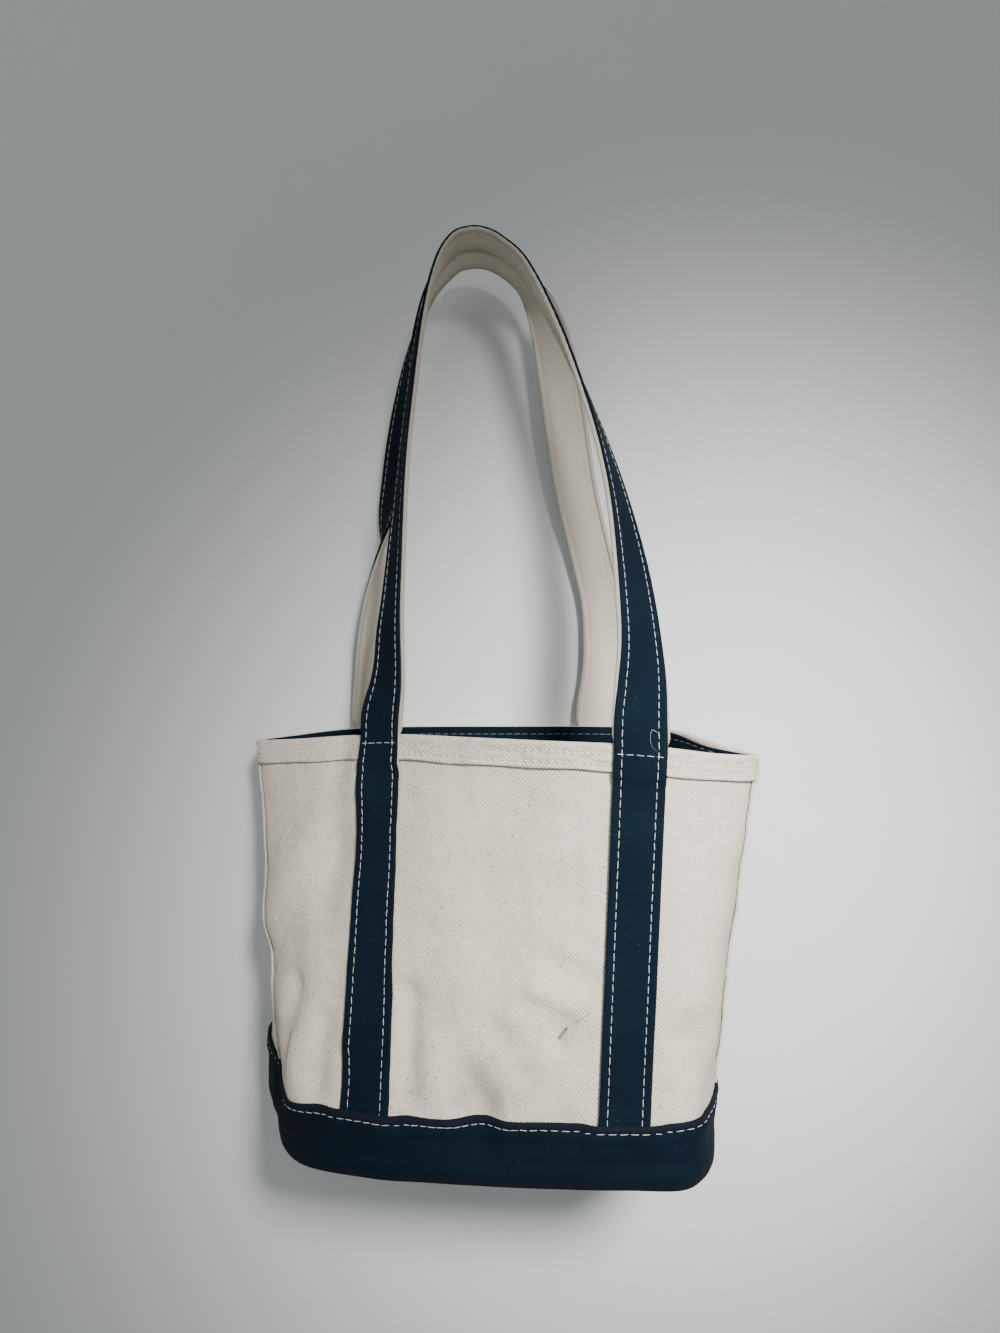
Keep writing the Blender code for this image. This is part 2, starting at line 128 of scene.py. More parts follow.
# Handle routes: the middle of the lining's inner face (X, Y, Z in mm) and the compass angle of
# the strap's width in degrees, from the left leg over the hook to the right leg.
FRONT_ROUTE = [(-48, -14, -250, -45), (-47.2, -12, -226, -54), (-45.5, -10, -203, -62),
               (-41, -5, -140, -74), (-37, -2, -98, -76), (-30, 0, -47, -79), (-21, 0, -17, -86),
               (-12, 0, -3.5, -90), (-4, 0, 0, -90), (4, 0, 0, -90), (14, 0, -4.5, -90),
               (29, -3, -20, -91), (48, -17, -62, -96), (65, -29, -110, -105),
               (74, -41, -144, -114), (80.4, -51, -178, -127), (83.6, -66, -211, -140),
               (84.8, -79, -243, -154)]
BACK_ROUTE = [(-62.5, 50, -245, 194), (-61, 48.5, -225, 209), (-58.6, 46.5, -195, 241),
              (-57, 45, -172, 274), (-54.3, 44, -153, 298), (-50.5, 42, -130, 306),
              (-47, 39, -106, 305), (-42.5, 34.5, -78, 296), (-37.5, 31, -50, 281),
              (-27, 29, -20, 271), (-13, 28.4, -3.5, 270), (-4, 28.4, 0, 270), (4, 28.4, 0, 270),
              (14, 28.4, -4, 270), (28, 29, -14, 282), (38, 30.5, -28, 302), (44.8, 32, -45, 319),
              (50, 36, -68, 332), (55.5, 41, -101, 343), (61.5, 44.5, -137, 340),
              (71.5, 47, -178, 333), (79, 49, -210, 340), (80.5, 51, -243, 352)]


# ---- settings a user would change ---------------------------------------------------------------
def length(name, description, default):
    return FloatProperty(name=name, description=description, default=default, unit="LENGTH",
                         precision=5)


def colour(name, description, default):
    return FloatVectorProperty(name=name, description=description, default=default, min=0, max=1,
                               subtype="COLOR", size=3)


class ToteSizes(bpy.types.PropertyGroup):
    """Sizes of the cloth and its stitches"""
    lining: length("Lining", "Thickness of the webbing under the straps", 1.0 * MM)
    facing: length("Facing", "Thickness of the tape inside the rim", 0.8 * MM)
    seam_width: length("Seam width", "Width of the raised side seams", 4.6 * MM)
    stitch_pitch: length("Stitch pitch", "From one strap or base stitch to the next", 4.9 * MM)
    stitch_length: length("Stitch length", "Length of a strap or base stitch", 4.1 * MM)
    hem_pitch: length("Hem stitch pitch", "From one hem stitch to the next", 3.6 * MM)
    thread: length("Thread", "Width of the thread", 0.40 * MM)
    inset: length("Stitch inset", "From a strap's edge to its stitches", 4.3 * MM)
    mesh_step: length("Mesh step", "Spacing of the cloth's mesh", 2.0 * MM)
    fray: IntProperty(name="Fray", description="Loose fibres along each side seam", default=220)


class ToteColours(bpy.types.PropertyGroup):
    """Colours of the cloth, the thread and the stage"""
    natural: colour("Natural canvas", "Undyed canvas", (0.80, 0.745, 0.625))
    # This colour also paints the shade in some dents and in the hem's needle holes.
    soil_and_shade: colour("Soil", "Dust and stains on the canvas", (0.30, 0.26, 0.205))
    navy: colour("Navy canvas", "Straps, base and facing", (0.0034, 0.0092, 0.0175))
    faded: colour("Faded navy", "Navy canvas along its worn folds", (0.0085, 0.0105, 0.0175))
    lining: colour("Strap lining", "Webbing under the straps", (0.60, 0.56, 0.48))
    white: colour("White thread", "Stitches on navy canvas", (0.53, 0.56, 0.58))
    cream: colour("Natural thread", "Stitches on the hem", (0.82, 0.79, 0.71))
    wall: colour("Backdrop", "Pale wall behind the bag", (0.70, 0.735, 0.725))
    floor: colour("Floor", "Pale floor below the bag", (0.60, 0.61, 0.60))


def sizes():
    return bpy.context.scene.tote_sizes


def colours():
    return bpy.context.scene.tote_colours


# ---- the shared skin ----------------------------------------------------------------------------
def smooth(value, low, high):
    """0 below low, 1 above high, with a soft step between."""
    t = np.clip((value - low) / (high - low), 0, 1)
    return t * t * (3 - 2 * t)


def through(points, k, closed=False):
    """A smooth curve through points, with k counting them."""
    points = np.asarray(points, float)
    k = np.asarray(k, float)
    last = len(points)
    if closed:
        i = np.floor(k).astype(int)
        a, b, c, d = (points[(i + j) % last] for j in (-1, 0, 1, 2))
    else:
        i = np.clip(np.floor(k).astype(int), 0, last - 2)
        padded = np.vstack([2 * points[0] - points[1], points, 2 * points[-1] - points[-2]])
        a, b, c, d = (padded[i + j] for j in range(4))
    t = (k - i)[..., None]
    return 0.5 * (2 * b + (c - a) * t + (2 * a - 5 * b + 4 * c - d) * t ** 2
                  + (3 * b - a - 3 * c + d) * t ** 3)


def plan(k, down):
    """The cloth's outline in plan, between the rim's and the base's."""
    share = np.clip(down / WALL, 0, 1)[..., None]
    rim = through(RIM_OUTLINE, k, closed=True)
    return (rim + (through(BASE_OUTLINE, k, closed=True) - rim) * share) * MM


def rim_z(k):
    """Height of the rim, which sinks towards the side seams."""
    from_seam = np.cos(math.pi * (k - SEAM_LEFT) / SEAM_RIGHT) ** 2
    back_right = (np.mod(k, ROUND) > SEAM_RIGHT) & (np.mod(k, ROUND) < 12)
    raised = 2.2 * MM * np.exp(-((np.mod(k, ROUND) - 9.4) / 0.6) ** 2)
    return RIM_Z - RIM_DROOP * from_seam ** np.where(back_right, 8, 3) + raised


def distance_along(points):
    """Distance from the first of a row of points to each of them."""
    return np.concatenate([[0], np.cumsum(np.linalg.norm(np.diff(points, axis=0), axis=1))])


GIRTH_K = np.linspace(0, ROUND, 641)
GIRTH = distance_along(plan(GIRTH_K, np.full(641, 100 * MM)))


def girth(k):
    """Distance along the cloth from the left seam to outline point k."""
    return np.interp(np.mod(k, ROUND), GIRTH_K, GIRTH) + GIRTH[-1] * np.floor(k / ROUND)


def ripples(u, v, seed, count, shortest, longest):
    """A gentle, even unevenness: many small waves in all directions."""
    random = np.random.default_rng(seed)
    total = np.zeros(np.broadcast(u, v).shape)
    for _ in range(count):
        wave = random.uniform(shortest, longest)
        angle = random.uniform(0, math.pi)
        phase = random.uniform(0, 2 * math.pi)
        reach = wave / longest
        total += reach * np.sin(2 * math.pi * (u * math.cos(angle) + v * math.sin(angle)) / wave
                                + phase)
    return total / math.sqrt(count)


def drape(k, down):
    """How far the hanging cloth stands off its plain loft, in metres."""
    u, v = girth(k), down
    total = 0.65 * MM * ripples(u, v, 11, 22, 26 * MM, 75 * MM)
    total += 0.20 * MM * ripples(u, v, 12, 26, 7 * MM, 16 * MM)
    for *ends, width, height in FOLDS:
        total = total + height * MM * along_stroke(k, down, ends, width)
    return total * (1 - smooth(down, STRAIGHT, STRAIGHT + 0.7 * ARC))


def skin(k, down):
    """Points and outward normals of the draped cloth's outer face."""
    k, down = np.broadcast_arrays(np.asarray(k, float), np.asarray(down, float))
    here = plan(k, down)
    tangent = plan(k + 0.02, down) - plan(k - 0.02, down)
    tangent /= np.linalg.norm(tangent, axis=-1, keepdims=True)
    outward = np.stack([tangent[..., 1], -tangent[..., 0], np.zeros(k.shape)], -1)
    top = rim_z(k)
    wall_z = top + (RIM_Z - WALL - top) * down / WALL
    z = np.where(down <= WALL, wall_z, RIM_Z - np.minimum(down, STRAIGHT))
    point = np.concatenate([here, z[..., None]], -1)
    turn = (np.clip(down - STRAIGHT, 0, ARC) / CORNER_RADIUS)[..., None]
    normal = outward * np.cos(turn) - UP * np.sin(turn)
    point = point + (normal - outward) * CORNER_RADIUS
    inset = np.clip(down - STRAIGHT - ARC, 0, None)[..., None]
    return point - outward * inset + normal * drape(k, down)[..., None], normal


def over(k, down, height):
    """Points at a height above the draped cloth."""
    point, normal = skin(k, down)
    return point + normal * np.asarray(height)[..., None]


def beside(k, distance, down):
    """The outline points that lie a distance along the cloth from outline point k."""
    distance = np.asarray(distance, float)
    where = k + np.zeros(distance.shape)
    level = np.full(distance.shape, down)
    for _ in range(4):
        half = (k + where) / 2
        step = plan(half + 0.01, level) - plan(half - 0.01, level)
        where = k + distance * 0.02 / np.linalg.norm(step, axis=-1)
    return where


def from_strap(k, strap, down):
    """Straight distance in plan from outline points to a strap's middle."""
    middle = plan(np.full(k.shape, float(strap)), down)
    return np.linalg.norm(plan(k, down) - middle, axis=-1)


# ---- making pieces ------------------------------------------------------------------------------
def ready():
    """Leave edit mode and select nothing."""
    if bpy.context.object and bpy.context.object.mode != "OBJECT":
        bpy.ops.object.mode_set(mode="OBJECT")
    bpy.ops.object.select_all(action="DESELECT")


def loft(name, grid, uv, around=False, caps=False):
    """A mesh through a grid of points (rows, columns), with its cloth coordinates as a UV map.

    around closes each row into a ring, and caps closes the first and last rings.
    """
    rows, across = grid.shape[:2]
    steps = across if around else across - 1
    i, j = np.meshgrid(np.arange(rows - 1), np.arange(steps), indexing="ij")
    right = (j + 1) % across
    quads = np.stack([i * across + j, (i + 1) * across + j, (i + 1) * across + right,
                      i * across + right], -1).reshape(-1, 4)
    faces = quads.tolist()
    if caps:
        last = (rows - 1) * across
        faces.append(list(range(across)))
        faces.append(list(range(last + across - 1, last - 1, -1)))
    piece = new_piece(name, grid.reshape(-1, 3).tolist(), faces)
    corner = np.array([index for face in faces for index in face])
    flat = uv.reshape(-1, 2)[corner]
    if around:
        # The last column of faces ends at the ring's full length, not back at its start.
        seam = np.zeros(len(corner), bool)
        count = len(quads) * 4
        wraps = (j.reshape(-1) == across - 1)
        seam[:count].reshape(-1, 4)[wraps, 2:] = True
        pitch = uv[:, 1, 0] - uv[:, 0, 0]
        row = corner // across
        flat[seam, 0] = (uv[:, -1, 0] + pitch)[row[seam]]
    layer = piece.data.uv_layers.new(name="cloth")
    layer.data.foreach_set("uv", flat.astype(np.float32).ravel())
    return piece


def new_piece(name, points, faces):
    """A smooth object from points and faces."""
    mesh = bpy.data.meshes.new(name)
    mesh.from_pydata(points, [], faces)
    piece = bpy.data.objects.new(name, mesh)
    bpy.context.scene.collection.objects.link(piece)
    mesh.shade_smooth()
    return piece


def point_values(piece, name, values):
    """Give a piece a named value at each point, for its material."""
    attribute = piece.data.attributes.new(name, "FLOAT", "POINT")
    attribute.data.foreach_set("value", np.asarray(values, np.float32).ravel())


def apply(piece, kind, **settings):
    """Add a modifier, set it and apply it."""
    ready()
    bpy.context.view_layer.objects.active = piece
    piece.select_set(True)
    modifier = piece.modifiers.new(kind.lower(), kind)
    for key, value in settings.items():
        setattr(modifier, key, value)
    bpy.ops.object.modifier_apply(modifier=modifier.name)


def outward_faces(piece):
    """Turn the faces of a closed shell outwards."""
    work = bmesh.new()
    work.from_mesh(piece.data)
    bmesh.ops.recalc_face_normals(work, faces=work.faces)
    work.to_mesh(piece.data)
    work.free()


def dress(piece, body, material, nodes=()):
    """Finish a piece: its look, the body it rides on, and the CAD nodes it stands for."""
    piece.data.materials.clear()
    piece.data.materials.append(material)
    if body:
        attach(piece, body)
    if nodes:
        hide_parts(*nodes)
    return piece


# ---- looks --------------------------------------------------------------------------------------
class Wire:
    """A shader socket that arithmetic can be written with."""

    def __init__(self, look, socket):
        self.look = look
        self.socket = socket

    def math(self, operation, *values):
        return self.look.node("ShaderNodeMath", {"operation": operation}, dict(enumerate(values)))

    def __add__(self, other):
        return self.math("ADD", self, other)

    def __radd__(self, other):
        return self.math("ADD", other, self)

    def __sub__(self, other):
        return self.math("SUBTRACT", self, other)

    def __rsub__(self, other):
        return self.math("SUBTRACT", other, self)

    def __mul__(self, other):
        return self.math("MULTIPLY", self, other)

    def __rmul__(self, other):
        return self.math("MULTIPLY", other, self)

    def __truediv__(self, other):
        return self.math("DIVIDE", self, other)

    def __pow__(self, other):
        return self.math("POWER", self, other)

    def sine(self):
        return self.math("SINE", self)

    def whole(self):
        return self.math("FLOOR", self)

    def size(self):
        return self.math("ABSOLUTE", self)

    def step(self, low, high):
        """0 below low and 1 above high, softly."""
        return self.look.node("ShaderNodeMapRange", {"interpolation_type": "SMOOTHSTEP"},
                              {"Value": self, "From Min": low, "From Max": high})


class Look:
    """A material being built: a Principled shader and the nodes that feed it."""

    def __init__(self, name, roughness, sheen=0.0, sheen_colour=(1, 1, 1)):
        self.material = bpy.data.materials.new(name)
        self.material.use_nodes = True
        self.tree = self.material.node_tree
        self.shader = self.tree.nodes["Principled BSDF"]
        self.shader.inputs["Roughness"].default_value = roughness
        self.shader.inputs["Specular IOR Level"].default_value = 0.25
        self.shader.inputs["Sheen Weight"].default_value = sheen
        self.shader.inputs["Sheen Roughness"].default_value = 0.5
        self.shader.inputs["Sheen Tint"].default_value = (*sheen_colour, 1)

    def node(self, kind, settings=None, inputs=None, output=0):
        made = self.tree.nodes.new(kind)
        for key, value in (settings or {}).items():
            setattr(made, key, value)
        for key, value in (inputs or {}).items():
            self.feed(made.inputs[key], value)
        return Wire(self, made.outputs[output])

    def feed(self, socket, value):
        if isinstance(value, Wire):
            self.tree.links.new(value.socket, socket)
        elif socket.type == "RGBA" and len(value) == 3:
            socket.default_value = (*value, 1)
        else:
            socket.default_value = value

    def cloth(self):
        """Across and along the cloth, in millimetres."""
        uv = self.node("ShaderNodeUVMap", {"uv_map": "cloth"})
        split = self.tree.nodes.new("ShaderNodeSeparateXYZ")
        self.feed(split.inputs[0], uv)
        return Wire(self, split.outputs[0]) * 1000, Wire(self, split.outputs[1]) * 1000

    def place(self):
        return self.node("ShaderNodeTexCoord", output="Object")

    def noise(self, scale, detail=3.0, where=None, rough=0.55):
        return self.node("ShaderNodeTexNoise", {"noise_dimensions": "3D"},
                         {"Vector": where or self.place(), "Scale": scale, "Detail": detail,
                          "Roughness": rough}, output="Fac")

    def specks(self, scale, radius, where=None):
        """Small scattered dots, 1 inside a dot."""
        away = self.node("ShaderNodeTexVoronoi", {"feature": "F1"},
                         {"Vector": where or self.place(), "Scale": scale}, output="Distance")
        return 1 - away.step(radius * 0.5, radius)

    def mix(self, share, first, second):
        made = self.tree.nodes.new("ShaderNodeMix")
        made.data_type = "RGBA"
        self.feed(made.inputs["Factor"], share)
        self.feed(made.inputs[6], first)
        self.feed(made.inputs[7], second)
        return Wire(self, made.outputs[2])

    def marks(self, strokes):
        """Thin strokes over the cloth, uneven along their edges."""
        across, along = self.cloth()
        rough = (self.noise(500, 3) - 0.5) * 1.1
        total = 0
        for k0, down0, k1, down1, radius, strength in strokes:
            start = float(girth(k0)) / MM, down0
            way = float(girth(k1)) / MM - start[0], down1 - start[1]
            from_u, from_v = across - start[0], along - start[1]
            share = (from_u * way[0] + from_v * way[1]) / (way[0] ** 2 + way[1] ** 2)
            share = share.math("MINIMUM", share.math("MAXIMUM", share, 0.0), 1.0)
            off = ((from_u - share * way[0]) ** 2 + (from_v - share * way[1]) ** 2) ** 0.5 + rough
            total = total + (1 - off.step(radius * 0.35, radius * 1.5)) * strength
        return total

    def value(self, name):
        return self.node("ShaderNodeAttribute", {"attribute_name": name}, output="Fac")

    def finish(self, base, bump=None, height=1.0 * MM, roughness=None):
        self.feed(self.shader.inputs["Base Color"], base)
        if roughness is not None:
            self.feed(self.shader.inputs["Roughness"], roughness)
        if bump is not None:
            relief = self.node("ShaderNodeBump", {}, {"Height": bump, "Distance": height,
                                                      "Strength": 1.0})
            self.feed(self.shader.inputs["Normal"], relief)
        return self.material


def twill(look, pitch, lean):
    """Slanted twill lines broken into yarns: 1 on a line, 0 in the groove beside it."""
    across, along = look.cloth()
    wander = (look.noise(260, 2) - 0.5) * 0.9
    line = (across * lean - along + wander) * (2 * math.pi / (pitch * math.hypot(1, lean)))
    ridge = line.sine() * 0.5 + 0.5
    yarn = ((across + along * 0.35) * (2 * math.pi / 0.62)).sine() * 0.5 + 0.5
    return ridge * 0.72 + yarn * 0.28


def natural_canvas():
    """Undyed twill canvas: slanted lines, uneven yarn, specks, dust and a few stains, with painted
    shade in some dents and in the hem's needle holes.
    """
    look = Look("natural_canvas_twill", 0.92, 0.08, (1, 0.97, 0.9))
    weave = twill(look, 1.45, 1.2)
    slub = look.noise(800, 3)
    cloud = look.noise(16, 4)
    patch = look.noise(55, 4)
    tone = look.mix(cloud.step(0.35, 0.7) * 0.35, colours().natural, (0.665, 0.61, 0.515))
    tone = look.mix(patch.step(0.45, 0.72) * 0.25, tone, (0.62, 0.565, 0.465))
    tone = look.mix((1 - weave) * 0.40 + slub.step(0.46, 0.72) * 0.48, tone, (0.44, 0.39, 0.31))
    flecks = look.specks(210, 0.20) * look.noise(70, 2).step(0.50, 0.60)
    tone = look.mix(flecks * 0.6, tone, (0.28, 0.22, 0.15))
    pills = look.specks(150, 0.14) * look.noise(38, 2).step(0.50, 0.60)
    tone = look.mix(pills * 0.5, tone, (0.84, 0.81, 0.74))
    tone = look.mix(look.marks(MARKS), tone, (0.115, 0.082, 0.056))
    # The soil value darkens the cloth for dust and stains, and also as painted shade in some dents
    # and in the hem's needle holes.
    stain_and_shade_share = look.value("soil_and_shade")
    smudge_and_shade = stain_and_shade_share * (look.noise(120, 5) * 1.3 + 0.15)
    tone = look.mix(smudge_and_shade.step(0.04, 1.0), tone, colours().soil_and_shade)
    bump = weave * 0.30 + slub * 0.18 + patch * 0.40 + pills * 0.45
    return look.finish(tone, bump, 1.0 * MM)


def navy_canvas():
    """Dyed canvas: plain even weave, lint, and folds faded by wear."""
    look = Look("navy_canvas_weave", 0.92, 0.02, (0.6, 0.68, 0.8))
    look.shader.inputs["Specular IOR Level"].default_value = 0.06
    weave = twill(look, 1.3, -1.0)
    cloud = look.noise(34, 4)
    rub = look.noise(240, 3)
    tone = look.mix(cloud.step(0.35, 0.75) * 0.55, colours().navy, (0.0055, 0.0150, 0.0245))
    tone = look.mix((1 - weave) * 0.38, tone, (0.0018, 0.0044, 0.0088))
    worn = look.value("wear") * (rub * 0.9 + 0.45)
    tone = look.mix(worn.step(0.18, 1.1), tone, colours().faded)
    lint = look.specks(330, 0.12) * look.noise(60, 2).step(0.50, 0.62)
    tone = look.mix(lint * 0.3, tone, (0.13, 0.16, 0.19))
    bump = weave * 0.16 + look.noise(1500, 2) * 0.08 + cloud * 0.25
    return look.finish(tone, bump, 1.0 * MM)


def strap_lining():
    """Undyed webbing: fine ribs along it and a rope-like edge."""
    look = Look("strap_lining_webbing", 0.9, 0.1, (1, 0.97, 0.9))
    across, along = look.cloth()
    edge = look.value("edge")
    rib = (across * (2 * math.pi / 1.25)).sine() * 0.5 + 0.5
    pick = ((along + across * 0.5) * (2 * math.pi / 0.8)).sine() * 0.5 + 0.5
    rope = ((along + across * 0.8) * (2 * math.pi / 1.15)).sine() * 0.5 + 0.5
    weave = (rib * 0.5 + pick * 0.5) * (1 - edge) + rope * edge
    cloud = look.noise(40, 4)
    tone = look.mix(cloud.step(0.35, 0.7) * 0.35, colours().lining, (0.50, 0.455, 0.375))
    tone = look.mix((1 - weave) * (0.22 + edge * 0.38), tone, (0.34, 0.30, 0.235))
    tone = look.mix(edge * 0.3, tone, (0.78, 0.75, 0.67))
    bump = weave * (0.16 + edge * 0.4) + look.noise(1300, 2) * 0.1
    return look.finish(tone, bump, 1.0 * MM)


def thread_look(name, base, dark):
    """Twisted thread, a little soiled from one stitch to the next."""
    look = Look(name, 0.6, 0.1)
    tone = look.mix(look.noise(70, 3).step(0.35, 0.7) * 0.5, base, dark)
    twist = look.noise(2600, 2)
    tone = look.mix(twist.step(0.5, 0.8) * 0.35, tone, dark)
    return look.finish(tone, twist * 0.3, 0.4 * MM)


def raw_edge():
    """Cut canvas edge with loosened fibres."""
    look = Look("frayed_canvas_edge", 0.95, 0.1)
    grain = look.noise(900, 4)
    tone = look.mix(grain.step(0.3, 0.75), (0.50, 0.45, 0.36), (0.80, 0.76, 0.67))
    return look.finish(tone, grain * 0.9, 1.0 * MM)


LOOKS = {}


def look_of(kind):
    """The material of a kind of cloth or thread, made once."""
    if kind not in LOOKS:
        LOOKS[kind] = {
            "natural": natural_canvas,
            "navy": navy_canvas,
            "lining": strap_lining,
            "white": lambda: thread_look("white_topstitch_thread", colours().white,
                                         (0.36, 0.38, 0.40)),
            "cream": lambda: thread_look("natural_hem_thread", colours().cream,
                                         (0.46, 0.42, 0.34)),
            # The facing's stitches are the white thread, painted darker as shade inside the rim.
            "facing": lambda: thread_look("facing_thread_painted_shade", (0.30, 0.32, 0.33),
                                          (0.16, 0.18, 0.19)),
            "inner": lambda: thread_look("inner_stitch_thread", (0.50, 0.46, 0.38),
                                         (0.34, 0.30, 0.24)),
            "raw": raw_edge,
        }[kind]()
    return LOOKS[kind]


# ---- body canvas --------------------------------------------------------------------------------
# Stains on the front, and painted shade in three of its dents, as short strokes: outline point and
# distance down (mm) of both ends, radius (mm) and strength.
STAINS_AND_DENT_SHADE = [(5.36, 141, 5.66, 137, 7.5, 0.34), (5.30, 143, 5.34, 140, 4.0, 0.22),
          (4.22, 152, 4.26, 151, 1.5, 0.55), (4.75, 153, 4.9, 156, 3.0, 0.32),
          (3.16, 110, 3.2, 109, 2.6, 0.30), (6.78, 38, 6.80, 37, 1.8, 0.40),
          # The second stroke on the next line is painted shade in the hollow above the base's edge.
          (2.85, 150, 2.86, 172, 5.0, 0.26), (3.75, 174, 4.15, 177, 8.0, 0.50),
          # The second stroke on the next line and the first on the line after are painted shade in
          # the dents low on the left.
          (4.5, 172, 5.4, 174, 9.0, 0.22), (0.9, 148, 0.7, 166, 9.0, 0.20),
          (1.2, 160, 1.5, 172, 7.0, 0.22), (7.0, 168, 7.5, 170, 8.0, 0.20),
          (4.4, 98, 4.9, 104, 8.0, 0.12)]


# Sharper marks than the mesh can carry, drawn by the material, in the same way.
MARKS = [(5.235, 141.5, 5.30, 137.6, 0.95, 0.85), (5.30, 137.2, 5.42, 133.5, 0.7, 0.30),
         (5.42, 133.5, 5.56, 128, 0.8, 0.22)]


def soil_and_shade_of(k, down):
    """Darker low on the walls and towards the rim, the stains on the front, and painted shade in
    three of its dents.
    """
    soil_and_shade = 0.14 * smooth(down, 120 * MM, WALL) + 0.08 * (1 - smooth(down, 2 * MM, 20 * MM))
    for k0, down0, k1, down1, radius, strength in STAINS_AND_DENT_SHADE:
        soil_and_shade = soil_and_shade + strength * along_stroke(k, down, (k0, down0, k1, down1), radius)
    return soil_and_shade


def along_stroke(k, down, ends, width):
    """1 on a stroke across the cloth, falling off softly over a width (mm)."""
    k0, down0, k1, down1 = ends
    start = np.array([girth(k0), down0 * MM])
    along = np.array([girth(k1), down1 * MM]) - start
    total = 0
    for turn in (-GIRTH[-1], 0, GIRTH[-1]):
        offset_u, offset_v = girth(k) + turn - start[0], down - start[1]
        t = np.clip((offset_u * along[0] + offset_v * along[1]) / (along @ along), 0, 1)
        off = (offset_u - t * along[0]) ** 2 + (offset_v - t * along[1]) ** 2
        total = total + np.exp(-off / (width * MM) ** 2)
    return total


def grid_of(start, end, top, bottom, step):
    """Outline points and distances down for an even mesh."""
    wide = int(abs(girth(end) - girth(start)) / step)
    tall = int((bottom - top) / step)
    return np.meshgrid(np.linspace(start, end, wide), np.linspace(top, bottom, tall))


class TOTE_OT_body_canvas(bpy.types.Operator):
    """Sew the natural canvas body: front, back and bottom"""
    bl_idname = "tote.body_canvas"
    bl_label = "Body Canvas"

    def execute(self, context):
        step = sizes().mesh_step
        gap = 0.012
        for side, start, end in (("front", SEAM_LEFT + gap, SEAM_RIGHT - gap),
                                 ("back", SEAM_RIGHT + gap, ROUND - gap)):
            k, down = grid_of(start, end, 0.0, STRAIGHT + ARC, step)
            uv = np.stack([girth(k), down], -1)
            piece = loft(f"{side}_canvas", over(k, down, np.zeros(k.shape)), uv)
            point_values(piece, "soil_and_shade", soil_and_shade_of(k, down))
            apply(piece, "SOLIDIFY", thickness=CANVAS, offset=-1)
            dress(piece, "bag", look_of("natural"), [f"{side}_panel"])
            girth(end) - girth(start)
        self.bottom()
        return {"FINISHED"}

    def bottom(self):
        """The bottom sags a little between the walls it is folded up into."""
        k = np.linspace(0, ROUND, 241)[:-1]
        edge, _ = skin(k, np.full(k.shape, STRAIGHT + ARC))
        outline, _ = skin(k, np.full(k.shape, STRAIGHT + ARC + 1.5 * MM))
        outline[:, 2] = edge[:, 2]
        middle = outline.mean(axis=0)
        rings = np.linspace(0, 0.985, 34)[:, None, None]
        grid = outline[None] * (1 - rings) + middle * rings
        sag = (1 - (1 - rings[..., 0]) ** 2) * 1.2 * MM
        grid[..., 2] += CANVAS - sag + 0.1 * MM
        uv = grid[..., :2].copy()
        piece = loft("bottom_canvas", grid, uv, around=True)
        work = bmesh.new()
        work.from_mesh(piece.data)
        work.verts.ensure_lookup_table()
        last = work.verts[-k.size:]
        work.faces.new(last)
        bmesh.ops.recalc_face_normals(work, faces=work.faces)
        if sum(face.normal.z for face in work.faces) > 0:
            bmesh.ops.reverse_faces(work, faces=work.faces)
        work.to_mesh(piece.data)
        work.free()
        point_values(piece, "soil_and_shade", np.full(len(piece.data.vertices), 0.15))
        apply(piece, "SOLIDIFY", thickness=CANVAS, offset=-1)
        dress(piece, "bag", look_of("natural"), ["bottom_panel"])


class TOTE_OT_base_wrap(bpy.types.Operator):
    """Wrap the navy base round the lower walls, over the ends of the straps"""
    bl_idname = "tote.base_wrap"
    bl_label = "Base Wrap"

    def execute(self, context):
        columns = 380
        k = np.linspace(0, ROUND, columns + 1)[:-1]
        top = base_edge(k)
        # The edge is folded: the cloth runs up inside, turns over and comes down outside.
        share = np.linspace(0, 1, 42)[:, None]
        wall = top + (STRAIGHT + ARC - top) * share ** 1.25
        outside = [over(k, row, base_height(k, row) + base_fold(row - top)) for row in wall]
        inside = [over(k, row, base_height(k, row) - CANVAS) for row in wall]
        lip_down = top - 0.55 * MM
        lip = over(k, lip_down, base_height(k, top) - 0.3 * MM)
        low = outside[-1]
        middle = low.mean(axis=0)
        floor_out, floor_in = [], []
        for ring in np.linspace(0.04, 0.985, 26):
            sag = (1 - (1 - ring) ** 2) * 1.6 * MM
            row = low * (1 - ring) + middle * ring
            floor_out.append(row - UP * sag)
            floor_in.append(row - UP * (sag - CANVAS))
        rings = floor_in[::-1] + inside[::-1] + [lip] + outside + floor_out
        grid = np.array(rings)
        lengths = np.concatenate([[0], np.cumsum(np.linalg.norm(
            np.diff(grid, axis=0), axis=-1).mean(axis=1))])
        uv = np.stack(np.broadcast_arrays(girth(k)[None], lengths[:, None]), -1)
        piece = loft("base_wrap", grid, uv, around=True, caps=True)
        outward_faces(piece)
        first_outside = len(floor_in) + len(inside)
        wear = np.zeros(grid.shape[:2])
        from_edge = wall - top
        worn = 1.0 - smooth(from_edge, 1.4 * MM, 3.4 * MM)
        corner = np.exp(-((wall - STRAIGHT - 0.5 * ARC) / (7 * MM)) ** 2) * 0.55
        turn = np.exp(-(np.minimum(abs(k - 1.0), abs(k - 7.2)) / 0.30) ** 2) * 0.45
        wear[first_outside] = 0.9
        wear[first_outside + 1:first_outside + 1 + len(wall)] = np.maximum(
            worn, corner + turn * share)
        point_values(piece, "wear", wear)
        dress(piece, "bag", look_of("navy"), ["base_cover"])
        low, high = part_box("base_cover")
        width, depth, height = (high[i] - low[i] for i in range(3))
        flat = (width + 2 * height, depth + 2 * height)
        0.8 * width * depth + 0.9 * height * float(GIRTH[-1])
        return {"FINISHED"}


